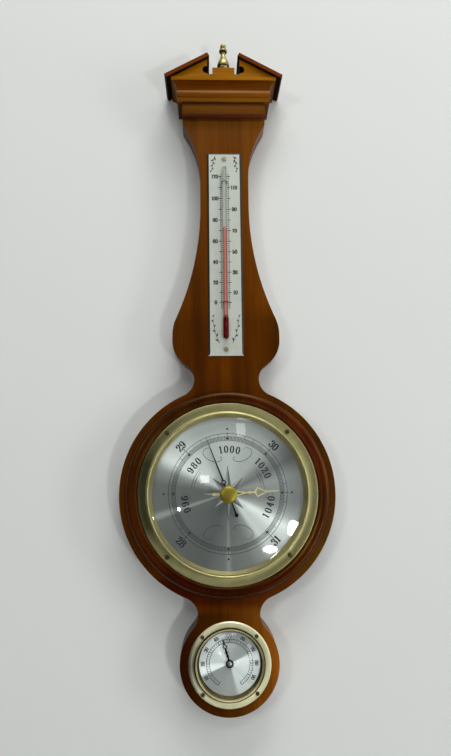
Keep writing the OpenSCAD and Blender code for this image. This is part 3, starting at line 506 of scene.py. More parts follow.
@dataclass(frozen=True)
class PaintFinish:
    """Ink, paint or dyed spirit with a slight unevenness."""

    name: str
    colour: Colour
    roughness: float = 0.5
    gloss: float = 0.5
    variation: float = 0.25
    clouds: float = 350.0

    def material(self) -> Material:
        """Builds the material.

        Returns:
            The painted material.
        """
        g = Graph(self.name)
        cloud = g.noise((self.clouds,) * 3, 3.0, 0.6)
        low = tuple(c * (1.0 - self.variation) for c in self.colour)
        tone = g.ramp(cloud, "Fac", [(0.3, low), (0.7, self.colour)])
        form = {"Roughness": self.roughness, "Specular IOR Level": self.gloss}
        return g.finish(g.after(tone, "Color", "BsdfPrincipled", "Base Color", form))


@dataclass
class Finishes:
    """The finishes in use, each made into a material once."""

    made: dict[str, Material] = field(default_factory=dict)

    def get(self, finish: Finish) -> Material:
        """Material of a finish, made on first use.

        Args:
            finish: The finish.

        Returns:
            Its material.
        """
        if finish.name not in self.made:
            self.made[finish.name] = finish.material()
        return self.made[finish.name]


# Wood, with the stretches of it where the room's shade and light are painted into the colour.
# Painted light on the board: shade at the left, on the bulge and round the dial, a painted shadow under the
# dial surround, and at the foot shade at the left and a painted highlight at the right.
BOARD_SHADES = (
    Shade((-0.19, 0.05), ((0.72, 0.66, 0.6), (1.0, 0.96, 0.85), (1.1, 1.1, 1.0)), (-0.05, 0.04)),
    Shade((-0.262, -0.21), ((0.56, 0.46, 0.4), (0.92, 0.86, 0.8), (0.6, 0.55, 0.5)), (-0.04, 0.04)),
    Shade((-0.478, -0.282), ((0.5, 0.4, 0.5), (0.74, 0.64, 0.8), (0.45, 0.42, 0.6)), (-0.1, 0.1)),
    Shade((-0.491, -0.47), ((0.6, 0.2, 0.3), (0.5, 0.2, 0.3), (1.15, 0.7, 0.4)), (-0.055, 0.055), 0.006),
    Shade((-0.62, -0.503), ((0.2, 0.1, 0.15), (0.52, 0.48, 0.8), (2.1, 2.5, 9.0)), (-0.045, 0.045), 0.012),
)
# Painted highlight along the top of the ovolo; the cove is made darker and redder.
CORNICE_SHADES = (
    Shade((0.0388, 0.041), ((2.3, 3.0, 40.0), (2.9, 4.0, 70.0), (2.4, 3.1, 40.0)), soft=0.0012),
    Shade((0.0445, 0.055), ((1.0, 0.7, 0.7), (0.9, 0.66, 0.7), (0.85, 0.66, 0.7)), soft=0.0015),
)
# Painted shadow of the cornice on the top of the frieze.
FRIEZE_SHADES = (
    Shade((0.026, 0.035), ((0.36, 0.32, 0.36), (0.42, 0.4, 0.4), (0.5, 0.46, 0.5)), soft=0.003),
)
# Painted shade at the bottom of the dial surround, which is also made redder, and painted light towards its
# upper right with painted shade at its upper left.
SURROUND_SHADES = (
    Shade((-0.52, -0.462), ((0.8, 0.35, 0.5), (0.6, 0.2, 0.4), (1.3, 0.6, 0.6)), (-0.1, 0.1), 0.012),
    Shade((-0.36, -0.25), ((0.6, 0.6, 0.7), (1.0, 1.1, 1.5), (2.2, 2.1, 2.4)), (-0.1, 0.1), 0.03),
)
BOARD_WOOD = WoodFinish(
    "board_wood", (0.069, 0.0145, 0.0003), (0.12, 0.029, 0.0005), (0.172, 0.046, 0.0008), Grain.UP,
    gloss=0.25, shades=BOARD_SHADES,
)
FRIEZE_WOOD = WoodFinish(
    "frieze_wood", (0.065, 0.016, 0.0003), (0.1, 0.027, 0.0006), (0.13, 0.038, 0.001), Grain.ACROSS,
    gloss=0.15, shades=FRIEZE_SHADES,
)
CORNICE_WOOD = WoodFinish(
    "cornice_wood", (0.115, 0.03, 0.0006), (0.17, 0.052, 0.001), (0.23, 0.076, 0.0015), Grain.ACROSS,
    gloss=0.2, shades=CORNICE_SHADES,
)
RETURN_WOOD = WoodFinish(
    "return_wood", (0.07, 0.018, 0.0005), (0.11, 0.03, 0.0008), (0.15, 0.044, 0.0012), Grain.THROUGH,
    gloss=0.2,
)
PEDIMENT_WOOD = WoodFinish(
    "pediment_wood", (0.21, 0.07, 0.0005), (0.29, 0.107, 0.0007), (0.36, 0.14, 0.001), Grain.ACROSS,
    gloss=0.08,
)
ROOF_WOOD = WoodFinish(
    "roof_wood", (0.07, 0.01, 0.0002), (0.135, 0.024, 0.0004), (0.19, 0.04, 0.001), Grain.THROUGH,
    gloss=0.1,
)
# Painted shade for the roof boards' undersides and the walls of the pediment's break.
DARK_WOOD = WoodFinish(
    "painted_shade_wood", (0.006, 0.002, 0.0004), (0.011, 0.004, 0.0008), (0.018, 0.007, 0.0014), Grain.ACROSS,
    0.6, 0.1,
)
# Painted shade for the frieze's underside.
UNDER_WOOD = WoodFinish(
    "underside_wood", (0.1, 0.03, 0.016), (0.16, 0.048, 0.026), (0.2, 0.06, 0.032), Grain.ACROSS, 0.6, 0.1
)
SURROUND_WOOD = WoodFinish(
    "surround_wood", (0.02, 0.003, 0.001), (0.037, 0.006, 0.0014), (0.058, 0.0105, 0.002), Grain.UP,
    0.27, 0.32, shades=SURROUND_SHADES,
)
# Metal.
SATIN_BRASS = MetalFinish("satin_brass", (0.54, 0.505, 0.235), (0.43, 0.395, 0.175), 0.36, Brushing.SPUN, 0.4)
PALE_BRASS = MetalFinish("pale_brass", (1.0, 0.985, 0.64), (0.86, 0.845, 0.52), 0.33, Brushing.SPUN, 0.4, 0.3)
GOLD_RING = MetalFinish("gold_ring", (0.56, 0.48, 0.24), (0.44, 0.37, 0.18), 0.36, metallic=0.85)
HAND_GOLD = MetalFinish("hand_gold", (0.95, 0.88, 0.46), (0.85, 0.74, 0.34), 0.35, metallic=0.35)
KNOB_BRASS = MetalFinish("knob_brass", (0.345, 0.285, 0.04), (0.26, 0.205, 0.024), 0.42, metallic=0.9)
FINIAL_BRASS = MetalFinish("finial_brass", (0.36, 0.3, 0.12), (0.28, 0.23, 0.09), 0.4)
# Painted shade for brass: under the finial's collar, on the hygrometer's spacer and in its bezel's groove.
SHADED_BRASS = MetalFinish("shaded_brass", (0.07, 0.058, 0.026), (0.04, 0.033, 0.015), 0.55)
AGED_BRASS = MetalFinish("aged_brass", (0.13, 0.11, 0.05), (0.05, 0.042, 0.02), 0.5)
SCREW_BRASS = MetalFinish("screw_brass", (0.42, 0.38, 0.24), (0.26, 0.23, 0.14), 0.4)
PLAIN_BRASS = MetalFinish("plain_brass", (0.62, 0.52, 0.26), (0.5, 0.4, 0.18), 0.3)
STEEL = MetalFinish("steel", (0.56, 0.57, 0.57), (0.42, 0.43, 0.44), 0.28)
DARK_STEEL = MetalFinish("dark_steel", (0.06, 0.06, 0.055), (0.03, 0.03, 0.028), 0.45)
TINPLATE = MetalFinish("tinplate", (0.5, 0.51, 0.5), (0.36, 0.37, 0.36), 0.42)
SCALE_SILVER = MetalFinish("scale_silver", (0.52, 0.553, 0.487), (0.475, 0.508, 0.445), 0.45, metallic=0.1)
# Painted reflections on the thermometer plate's bevels: a dark one for the top and the sides, a bright one
# for the bottom.
DARK_BEVEL = MetalFinish("dark_bevel", (0.03, 0.03, 0.027), (0.016, 0.016, 0.014), 0.5, metallic=0.4)
BRIGHT_BEVEL = MetalFinish("bright_bevel", (0.85, 0.86, 0.84), (0.78, 0.8, 0.77), 0.5, metallic=0.1)
BLUED_STEEL = MetalFinish("blued_steel", (0.035, 0.05, 0.075), (0.018, 0.025, 0.04), 0.3)
BLACK_STEEL = PaintFinish("black_steel", (0.004, 0.004, 0.005), 0.4, 0.1)
CAPSULE_METAL = MetalFinish("capsule_metal", (0.64, 0.6, 0.46), (0.5, 0.46, 0.34), 0.3)
SPRING_METAL = MetalFinish("spring_metal", (0.2, 0.26, 0.38), (0.12, 0.16, 0.26), 0.25)
COIL_STRIP = MetalFinish("coil_strip", (0.55, 0.38, 0.17), (0.42, 0.28, 0.12), 0.35)
# Glass, spirit and ink.
CLEAR_GLASS = GlassFinish("clear_glass")
SMALL_GLASS = GlassFinish("small_glass", facing_share=0.02)
TUBE_GLASS = GlassFinish("tube_glass", facing_share=0.01, roughness=0.25)
TUBE_ENAMEL = PaintFinish("tube_enamel", (0.6, 0.62, 0.57), 0.4, variation=0.06)
RED_SPIRIT = PaintFinish("red_spirit", (0.62, 0.19, 0.14), 0.3, variation=0.12)
# Painted shade for the right side of the spirit column.
SHADED_SPIRIT = PaintFinish("shaded_spirit", (0.31, 0.05, 0.039), 0.3, variation=0.12)
DARK_SPIRIT = PaintFinish("bulb_spirit", (0.1, 0.0015, 0.003), 0.15, 0.1)
INK = PaintFinish("ink", (0.012, 0.012, 0.013), 0.55)
GREY_INK = PaintFinish("grey_ink", (0.06, 0.068, 0.066), 0.5)
PALE_INK = PaintFinish("pale_ink", (0.2, 0.213, 0.207), 0.5)
WHITE_INK = PaintFinish("white_ink", (0.5, 0.53, 0.515), 0.5)


def middle(node: str) -> Point:
    """Centre of a CAD node seen from the front, in metres."""
    low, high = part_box(node)
    return ((low[0] + high[0]) / 2.0, (low[2] + high[2]) / 2.0)


def axis(node: str) -> Point:
    """x and y of an upright CAD node's axis, in metres."""
    low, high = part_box(node)
    return ((low[0] + high[0]) / 2.0, (low[1] + high[1]) / 2.0)


def front(node: str) -> float:
    """y of a CAD node's front, in metres."""
    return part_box(node)[0][1]


def stand(name: str, data: bpy.types.ID) -> Piece:
    """Adds an object to the scene.

    Args:
        name: The object's name.
        data: Its mesh, light or camera.

    Returns:
        The new object.
    """
    thing = bpy.data.objects.new(name, data)
    bpy.context.scene.collection.objects.link(thing)
    return thing


class Bench:
    """Makes pieces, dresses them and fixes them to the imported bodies."""

    def __init__(self, frame: dict) -> None:
        """Keeps the loaded frame.
        """
        self.frame = frame
        self.finishes = Finishes()
        self.slots = {s["node"]: s["material_slot"] for s in frame["record"]["subparts"]}
        bodies = frame["record"]["behaviour"]["bodies"]
        self.body_of = {node: body for body, nodes in bodies.items() for node in nodes}

    def dress(self, finish: Finish, *nodes: str) -> None:
        """Gives CAD nodes that stay as they are a finish.

        Args:
            finish: The finish.
            *nodes: The CAD nodes.
        """
        for node in nodes:
            mesh = self.frame["nodes"][node].data
            mesh.materials.clear()
            mesh.materials.append(self.finishes.get(finish))

    def paint(self, piece: Piece, finishes: Sequence[Finish], choose: Callable[[Face], int]) -> None:
        """Gives some faces of a piece other finishes.

        Args:
            piece: The piece.
            finishes: The finishes that join the one it has.
            choose: Gives the number of a face's finish, 0 for the one that the piece has.
        """
        for finish in finishes:
            piece.data.materials.append(self.finishes.get(finish))
        for face in piece.data.polygons:
            face.material_index = choose(face)

    def copy(self, node: str) -> Mesh:
        """Copies a CAD node's mesh and welds its doubled points.

        Args:
            node: The CAD node.

        Returns:
            The mesh.
        """
        bm = bmesh.new()
        bm.from_mesh(self.frame["nodes"][node].data)
        bmesh.ops.remove_doubles(bm, verts=bm.verts, dist=WELD)
        return bm

    def shape(self, name: str, bm: Mesh, finish: Finish, sharp: float = 180.0) -> Piece:
        """Turns a mesh into a smooth object.

        Args:
            name: The object's name.
            bm: The mesh, which is freed.
            finish: Its finish.
            sharp: Angle in degrees above which an edge stays sharp.

        Returns:
            The new object.
        """
        mesh = bpy.data.meshes.new(name)
        bm.to_mesh(mesh)
        bm.free()
        mesh.shade_smooth()
        mesh.set_sharp_from_angle(angle=math.radians(sharp))
        mesh.materials.append(self.finishes.get(finish))
        log.info("%s: %d faces", name, len(mesh.polygons))
        return stand(name, mesh)

    def place(
        self, name: str, bm: Mesh, finish: Finish, body: str, slot: str, sharp: float = 32.0
    ) -> Piece:
        """Turns a mesh into a piece that rides on a body.

        Args:
            name: The piece's name.
            bm: The mesh, which is freed.
            finish: Its finish.
            body: The body that carries it.
            slot: The record's material slot; not used.
            sharp: Angle in degrees above which an edge stays sharp.

        Returns:
            The new object.
        """
        piece = self.shape(name, bm, finish, sharp)
        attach(piece, body)
        return piece

    def soften(self, node: str, finish: Finish, edge: float = 0.0, sharp: float = 32.0) -> Piece:
        """Replaces a CAD node by the same shape with smooth curves and, if asked for, eased edges.

        Args:
            node: The CAD node.
            finish: Its finish.
            edge: Radius of the eased edges in millimetres.
            sharp: Angle in degrees above which an edge stays sharp or is eased.

        Returns:
            The new object.
        """
        bm = self.copy(node)
        if edge:
            self.merge(bm)
            limit = math.radians(sharp)
            edges = [e for e in bm.edges if e.is_manifold and e.calc_face_angle(0.0) > limit]
            bmesh.ops.bevel(
                bm, geom=edges, offset=edge * MM, offset_type="OFFSET", segments=3, profile=0.6,
                affect="EDGES", clamp_overlap=True,
            )
        return self.swap(node, bm, finish, sharp)

    def merge(self, bm: Mesh, flat: float = 0.5) -> None:
        """Merges faces that meet at less than an angle in degrees."""
        limit = math.radians(flat)
        bmesh.ops.dissolve_limit(
            bm, angle_limit=limit, verts=bm.verts, edges=bm.edges, use_dissolve_boundaries=False
        )

    def swap(self, node: str, bm: Mesh, finish: Finish, sharp: float) -> Piece:
        """Puts a mesh in a CAD node's place and on its body.

        Args:
            node: The CAD node.
            bm: The mesh, which is freed.
            finish: Its finish.
            sharp: Angle in degrees above which an edge stays sharp.

        Returns:
            The new object.
        """
        piece = self.place(node + "_finished", bm, finish, self.body_of[node], self.slots[node], sharp)
        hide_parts(node)
        return piece


def polar(radius: float, angle: float) -> Point:
    """Point at a radius and an angle clockwise from twelve, in degrees."""
    a = math.radians(angle)
    return (radius * math.sin(a), radius * math.cos(a))


def between(start: float, end: float, steps: int) -> list[float]:
    """Evenly spaced values from start to end, both included."""
    return [start + (end - start) * k / steps for k in range(steps + 1)]


def swell(thin: float, more: float, count: int) -> list[float]:
    """Widths at the points of a line that grows wider towards its middle."""
    return [thin + more * math.sin(math.pi * share) for share in between(0.0, 1.0, count - 1)]


def bent(before: float, start: float, end: float, after: float, t: float) -> float:
    """Value of a curve on its way between two values, bent by their neighbours.

    Args:
        before: The value before the start.
        start: Where the stretch starts.
        end: Where it ends.
        after: The value after the end.
        t: Share of the way from start to end.

    Returns:
        The curve's value there.
    """
    slope = end - before
    bow = 2.0 * before - 5.0 * start + 4.0 * end - after
    twist = 3.0 * start - before - 3.0 * end + after
    return 0.5 * (2.0 * start + slope * t + bow * t**2 + twist * t**3)


def smooth(points: Sequence[Point], steps: int = 6) -> list[Point]:
    """Curve that passes through points.

    Args:
        points: The points, in order.
        steps: Pieces between two points.

    Returns:
        The points of the curve.
    """
    padded = [points[0], *points, points[-1]]
    curve = []
    for corners in zip(padded, padded[1:], padded[2:], padded[3:]):
        for t in between(0.0, 1.0, steps)[:-1]:
            curve.append(tuple(bent(*values, t) for values in zip(*corners)))
    return [*curve, points[-1]]


def oval(x: float, z: float, half_width: float, half_height: float) -> Curve:
    """Closed oval that starts and ends at its top."""
    around = (polar(1.0, 30.0 * k) for k in range(13))
    return tuple((x + half_width * px, z + half_height * pz) for px, pz in around)


class InkSheet:
    """Flat printed marks that lie on one plane in front of a dial or plate."""

    def __init__(self, centre: Point, plane: float) -> None:
        """Starts an empty sheet.

        Args:
            centre: x and z of the print's centre, in metres.
            plane: y of the printed surface, in metres.
        """
        self.centre = centre
        self.plane = plane
        self.bm = bmesh.new()

    def loop(self, points: Sequence[Point]) -> None:
        """Adds one filled outline.

        Args:
            points: Its corners in millimetres round the centre.
        """
        x0, z0 = self.centre
        corners = [self.bm.verts.new((x0 + x * MM, self.plane, z0 + z * MM)) for x, z in points]
        face = self.bm.faces.new(corners)
        face.normal_update()
        if face.normal.y > 0.0:
            face.normal_flip()

    def ring(self, radius: float, width: float, start: float = 0.0, end: float = 360.0) -> None:
        """Adds a round line.

        Args:
            radius: Its middle radius in millimetres.
            width: Its width.
            start: Angle clockwise from twelve at which it starts.
            end: Angle at which it ends.
        """
        inner, outer = radius - width / 2.0, radius + width / 2.0
        angles = between(start, end, round((end - start) / 3.0))
        for a, b in zip(angles, angles[1:]):
            self.loop([polar(inner, a), polar(outer, a), polar(outer, b), polar(inner, b)])

    def tick(self, angle: float, inner: float, outer: float, width: float) -> None:
        """Adds a radial line between two radii."""
        self.stroke([polar(inner, angle), polar(outer, angle)], [width, width])

    def dot(self, at: Point, radius: float) -> None:
        """Adds a round dot."""
        self.loop([(at[0] + x, at[1] + z) for x, z in (polar(radius, a) for a in range(0, 360, 24))])

    def stroke(self, points: Sequence[Point], widths: Sequence[float]) -> None:
        """Adds a line of changing width.

        Args:
            points: The line's points in millimetres.
            widths: Its width at each point.
        """
        left, right = [], []
        for i, (x, z) in enumerate(points):
            px, pz = points[max(i - 1, 0)]
            nx, nz = points[min(i + 1, len(points) - 1)]
            dx, dz = nx - px, nz - pz
            size = math.hypot(dx, dz) or 1.0
            w = widths[i] / 2.0
            left.append((x - dz / size * w, z + dx / size * w))
            right.append((x + dz / size * w, z - dx / size * w))
        for i in range(len(points) - 1):
            self.loop([left[i], left[i + 1], right[i + 1], right[i]])


@dataclass(frozen=True)
class Glyph:
    """Skeleton of a figure on a box one unit tall: curves, straight lines and ball ends."""

    width: float
    curves: tuple[Curve, ...] = ()
    lines: tuple[Curve, ...] = ()
    balls: Curve = ()

    def turned(self) -> "Glyph":
        """The same skeleton turned by half a turn.

        Returns:
            The turned skeleton.
        """

        def over(points: Sequence[Point]) -> Curve:
            """Points turned round the middle of the box."""
            return tuple((self.width - x, 1.0 - z) for x, z in points)

        curves, lines = (tuple(over(path) for path in paths) for paths in (self.curves, self.lines))
        return Glyph(self.width, curves, lines, over(self.balls))


SIX = Glyph(
    0.56,
    (
        (
            (0.46, 0.84), (0.36, 0.97), (0.22, 0.93), (0.1, 0.72), (0.06, 0.4), (0.11, 0.13), (0.27, 0.01),
            (0.43, 0.1), (0.5, 0.31), (0.43, 0.52), (0.28, 0.59), (0.13, 0.5), (0.08, 0.36),
        ),
    ),
    balls=((0.44, 0.83),),
)
FIGURES = {
    "0": Glyph(0.56, (oval(0.28, 0.5, 0.22, 0.49),)),
    "1": Glyph(
        0.44,
        lines=(((0.24, 0.0), (0.24, 1.0)), ((0.06, 0.84), (0.24, 0.98)), ((0.06, 0.02), (0.42, 0.02))),
    ),
    "2": Glyph(
        0.56,
        (
            (
                (0.09, 0.74), (0.15, 0.92), (0.29, 0.98), (0.44, 0.89), (0.46, 0.7), (0.34, 0.45),
                (0.17, 0.22), (0.05, 0.03),
            ),
            ((0.05, 0.05), (0.22, 0.07), (0.4, 0.03), (0.49, 0.08), (0.52, 0.22)),
        ),
        balls=((0.12, 0.74),),
    ),
    "3": Glyph(
        0.54,
        (
            ((0.09, 0.79), (0.18, 0.95), (0.31, 0.97), (0.43, 0.87), (0.42, 0.66), (0.25, 0.53)),
            ((0.25, 0.53), (0.43, 0.47), (0.48, 0.26), (0.39, 0.06), (0.22, 0.01), (0.09, 0.1), (0.07, 0.22)),
        ),
        balls=((0.11, 0.78), (0.1, 0.22)),
    ),
    "4": Glyph(
        0.58,
        lines=(
            ((0.38, 0.98), (0.04, 0.28)), ((0.04, 0.28), (0.56, 0.28)), ((0.39, 0.0), (0.39, 0.98)),
            ((0.22, 0.02), (0.56, 0.02)),
        ),
    ),
    "5": Glyph(
        0.54,
        (
            (
                (0.1, 0.5), (0.25, 0.6), (0.42, 0.52), (0.48, 0.3), (0.39, 0.07), (0.23, 0.01), (0.09, 0.09),
                (0.07, 0.21),
            ),
        ),
        (((0.11, 0.5), (0.14, 0.97)), ((0.14, 0.95), (0.45, 0.95))),
        ((0.1, 0.21),),
    ),
    "6": SIX,
    "7": Glyph(
        0.54,
        (((0.5, 0.95), (0.38, 0.66), (0.27, 0.34), (0.24, 0.0)),),
        (((0.06, 0.94), (0.5, 0.94)), ((0.07, 0.76), (0.07, 0.97))),
    ),
    "8": Glyph(0.56, (oval(0.28, 0.75, 0.18, 0.23), oval(0.28, 0.27, 0.22, 0.26))),
    "9": SIX.turned(),
}


@dataclass(frozen=True)
class Numerals:
    """Plain figures with thick stems and thin cross strokes, drawn with a nib."""

    stem: float = 0.17
    hair: float = 0.06
    gap: float = 0.08
    narrow: float = 1.0
    contrast: float = 1.6
    ball: float = 0.62

    def _steps(self, text: str) -> list[float]:
        """Spaces a number's figures.

        Args:
            text: The number.

        Returns:
            The middles of its figures along its line, in heights.
        """
        spots, at = [], 0.0
        for figure in text:
            wide = FIGURES[figure].width * self.narrow
            spots.append(at + wide / 2.0)
            at += wide + self.gap
        return [spot - (at - self.gap) / 2.0 for spot in spots]

    def _draw(self, sheet: InkSheet, figure: str, height: float, at: Point, turn: float) -> None:
        """Draws one figure.

        Args:
            sheet: The sheet to print on.
            figure: The figure.
            height: Its height in millimetres.
            at: Its middle.
            turn: Clockwise turn in degrees.
        """
        glyph = FIGURES[figure]
        a = math.radians(turn)

        def put(point: Point) -> Point:
            """Place on the sheet of a point of the figure's box."""
            x = (point[0] - glyph.width / 2.0) * height * self.narrow
            z = (point[1] - 0.5) * height
            return (at[0] + x * math.cos(a) + z * math.sin(a), at[1] - x * math.sin(a) + z * math.cos(a))

        for path in (*(smooth(c, 4) for c in glyph.curves), *glyph.lines):
            widths = []
            for i in range(len(path)):
                (ax, az), (bx, bz) = path[max(i - 1, 0)], path[min(i + 1, len(path) - 1)]
                rise = abs(bz - az) / (math.hypot((bx - ax) * self.narrow, bz - az) or 1.0)
                widths.append(height * (self.hair + (self.stem - self.hair) * rise**self.contrast))
            sheet.stroke([put(point) for point in path], widths)
        for ball in glyph.balls:
            sheet.dot(put(ball), height * self.stem * self.ball)

    def write(self, sheet: InkSheet, text: str, height: float, at: Point, turn: float = 0.0) -> None:
        """Writes a number on a straight line.

        Args:
            sheet: The sheet to print on.
            text: The number.
            height: Height of its figures in millimetres.
            at: Its middle.
            turn: Clockwise turn in degrees.
        """
        a = math.radians(turn)
        for figure, step in zip(text, self._steps(text)):
            spot = (at[0] + step * height * math.cos(a), at[1] - step * height * math.sin(a))
            self._draw(sheet, figure, height, spot, turn)

    def bend(self, sheet: InkSheet, text: str, height: float, at: Point, inward: bool) -> None:
        """Writes a number along a circle.

        Args:
            sheet: The sheet to print on.
            text: The number.
            height: Height of its figures in millimetres.
            at: Radius and angle, clockwise from twelve, of the number's middle.
            inward: Whether the figures' tops point to the centre.
        """
        radius, angle = at
        for figure, step in zip(text, self._steps(text)):
            swing = math.degrees(step * height / radius)
            spot = angle - swing if inward else angle + swing
            self._draw(sheet, figure, height, polar(radius, spot), spot + (180.0 if inward else 0.0))


@dataclass
class Woodwork:
    """Board, frieze, cornice, pediment, roof boards, dial surround and finial."""

    bench: Bench
    board_edge: float = 1.6
    small_edge: float = 0.5
    pediment_edge: float = 0.35
    cornice_edge: float = 0.25
    break_reach: float = 26.0
    ball_h: float = 5.6
    steep: float = 0.3
    wall_rise: float = 0.5

    def build(self) -> None:
        """Replaces the wooden nodes by eased and grained ones."""
        make = self.bench.soften
        make("backboard", BOARD_WOOD, self.board_edge)
        make("cornice_front", CORNICE_WOOD, self.cornice_edge)
        for side in ("left", "right"):
            make(f"cornice_{side}_return", RETURN_WOOD, self.cornice_edge)
        # Painted shade on the frieze's underside, the roof boards' undersides, the walls of the pediment's
        # break and under the finial's collar.
        self._darken(make("frieze", FRIEZE_WOOD, self.small_edge), UNDER_WOOD)
        for side in ("left", "right"):
            self._darken(make(f"{side}_roof_board", ROOF_WOOD, self.small_edge), DARK_WOOD)
        self._darken(make("pediment", PEDIMENT_WOOD, self.pediment_edge), DARK_WOOD, self.break_reach)
        make("dial_surround", SURROUND_WOOD, sharp=TURNED)
        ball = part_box("finial")[1][2] - self.ball_h * MM
        self._darken(make("finial", FINIAL_BRASS, sharp=26.0), SHADED_BRASS, top=ball)

    def _darken(self, piece: Piece, finish: Finish, reach: float = 0.0, top: float = 1.0) -> None:
        """Paints shade, with a darker finish, on the faces that look down and on the walls of the break.

        Args:
            piece: The piece.
            finish: The darker finish that paints the shade.
            reach: Half width in millimetres within which upright walls get it too.
            top: Height in metres above which nothing is darkened.
        """

        def dark(face: Face) -> int:
            """Number of the finish of a face."""
            normal, spot = face.normal, face.center
            wall = abs(normal.y) < self.steep and normal.z < self.wall_rise
            in_break = wall and abs(spot.x) < reach * MM
            return int(spot.z < top and (normal.z < -self.steep or in_break))

        self.bench.paint(piece, [finish], dark)


@dataclass
class BarometerDialPrint:
    """Printed scale of the barometer: inches outside, hectopascals inside, a star and scrolls."""

    bench: Bench
    lift: float = 0.03
    layer: float = 0.01
    span: float = 135.0
    inches: Point = (28.0, 31.0)
    tenths: int = 30
    hectopascals: float = 33.8639
    circle_r: float = 59.4
    circle_line: float = 0.44
    band: Point = (52.4, 56.4)
    band_line: float = 0.28
    band_ticks: int = 240
    band_tick_line: float = 0.62
    tick_lines: Point = (0.5, 0.28)
    long_tick: float = 3.2
    quarter_tick: Point = (1.6, 0.4)
    band_dot_r: float = 1.15
    outer_dots: Point = (64.0, 1.0)
    inch_r: float = 66.2
    inch_height: float = 7.6
    inner_r: float = 43.6
    inner_height: float = 7.0
    turned_from: Point = (90.0, 95.0)
    star_tips: Point = (27.0, 21.0)
    star_waist: Point = (9.0, 19.0)
    star_foot: Point = (5.0, 30.0)
    star_ray: Point = (4.0, 3.0)
    star_lines: Corner = (0.24, 0.24, 0.16)
    ray_lines: Point = (0.3, 0.16)
    arcs: tuple[Corner, ...] = ((36.8, 49.0, 84.0), (34.4, 52.0, 80.0))
    arc_lines: Point = (0.2, 0.4)
    curl_at: Point = (42.0, 93.0)
    curl_r: Point = (4.7, 1.5)
    curl_turn: Point = (265.0, -215.0)
    curl_lines: Point = (0.35, 0.2)
    curl_steps: int = 30
    scroll_lines: Point = (0.22, 0.36)
    scroll: Curve = (
        (15.5, 43.0), (18.5, 45.0), (22.5, 44.0), (24.6, 40.5), (22.5, 36.0), (17.5, 32.5), (11.5, 31.0),
        (7.0, 32.2), (5.6, 34.6), (7.2, 36.0), (8.6, 34.8),
    )

    def angle(self, inches: float) -> float:
        """Angle of a reading, clockwise from twelve."""
        share = (inches - self.inches[0]) / (self.inches[1] - self.inches[0])
        return -self.span + 2.0 * self.span * share

    def build(self) -> None:
        """Prints the dial."""
        centre, plane = middle("barometer_dial"), front("barometer_dial") - self.lift * MM
        black = InkSheet(centre, plane)
        self._scale(black)
        self._figures(black)
        self.bench.place("barometer_print", black.bm, INK, "case", "black_steel")
        grey = InkSheet(centre, plane - self.layer * MM)
        for a in between(0.0, 360.0, self.band_ticks)[:-1]:
            grey.tick(a, *self.band, self.band_tick_line)
        self._star(grey)
        self._scrolls(grey)
        self.bench.place("barometer_scrolls", grey.bm, GREY_INK, "case", "black_steel")
        for name, finish, side in (("shaded", PALE_INK, 1.0), ("lit", WHITE_INK, -1.0)):
            half = InkSheet(centre, plane + self.layer * MM)
            for a, tip in self._points():
                corner = polar(self.star_waist[0], a + side * self.star_waist[1])
                half.loop([polar(self.star_ray[1], a), corner, polar(tip, a)])
            self.bench.place("star_" + name, half.bm, finish, "case", "black_steel")

    def _scale(self, sheet: InkSheet) -> None:
        """Draws the circles, the inch ticks and the dots.

        Args:
            sheet: The sheet to print on.
        """
        sheet.ring(self.circle_r, self.circle_line)
        for edge in self.band:
            sheet.ring(edge, self.band_line)
        for i, inches in enumerate(between(*self.inches, self.tenths)):
            a = self.angle(inches)
            if i % 10 == 0:
                sheet.tick(a, self.band[0], self.circle_r + self.long_tick, self.tick_lines[0])
            else:
                sheet.tick(a, self.band[1], self.circle_r, self.tick_lines[1])
        for i in range(8):
            sheet.dot(polar(sum(self.band) / 2.0, 45.0 * i), self.band_dot_r)
        for a in (0.0, 90.0, 180.0, 270.0):
            sheet.dot(polar(self.outer_dots[0], a), self.outer_dots[1])
            sheet.tick(a, self.band[1], self.circle_r + self.quarter_tick[0], self.quarter_tick[1])

    def _figures(self, sheet: InkSheet) -> None:
        """Writes the inches and the hectopascals.

        Args:
            sheet: The sheet to print on.
        """
        bold = Numerals(stem=0.2, hair=0.07)
        wide = Numerals(stem=0.2, hair=0.075, gap=0.3)
        for inches in (28, 29, 30, 31):
            a = self.angle(inches)
            turn = a if abs(a) < self.turned_from[0] else a + 180.0
            bold.write(sheet, str(inches), self.inch_height, polar(self.inch_r, a), turn)
        for hpa in (960, 980, 1000, 1020, 1040):
            a = self.angle(hpa / self.hectopascals)
            inward = abs(a) > self.turned_from[1]
            wide.bend(sheet, str(hpa), self.inner_height, (self.inner_r, a), inward)

    def _points(self) -> list[Point]:
        """Angles and lengths of the star's eight points."""
        return [(45.0 * i, self.star_tips[i % 2]) for i in range(8)]

    def _star(self, sheet: InkSheet) -> None:
        """Draws the outlines of the eight-pointed star and its rays.

        Args:
            sheet: The sheet to print on.
        """
        for a, tip in self._points():
            for side in SIDES:
                corners = [polar(r, a + side * swing) for r, swing in (self.star_foot, self.star_waist)]
                sheet.stroke([*corners, polar(tip, a)], self.star_lines)
            sheet.stroke([polar(self.star_ray[0], a), polar(tip, a)], self.ray_lines)

    def _scrolls(self, sheet: InkSheet) -> None:
        """Draws the curls under the figures and the scrolls above and below the star.

        Args:
            sheet: The sheet to print on.
        """
        for side in SIDES:
            for radius, start, end in self.arcs:
                arc = [polar(radius, side * a) for a in between(start, end, 14)]
                sheet.stroke(arc, swell(*self.arc_lines, len(arc)))
            x, z = polar(self.curl_at[0], side * self.curl_at[1])
            ranges = (self.curl_r, self.curl_turn, self.curl_lines)
            radii, turns, widths = (between(*ends, self.curl_steps) for ends in ranges)
            curl = [polar(radius, side * a) for radius, a in zip(radii, turns)]
            sheet.stroke([(x + cx, z + cz) for cx, cz in curl], widths)
            for upper in SIDES:
                line = smooth([(side * x, upper * z) for x, z in self.scroll])
                sheet.stroke(line, swell(*self.scroll_lines, len(line)))


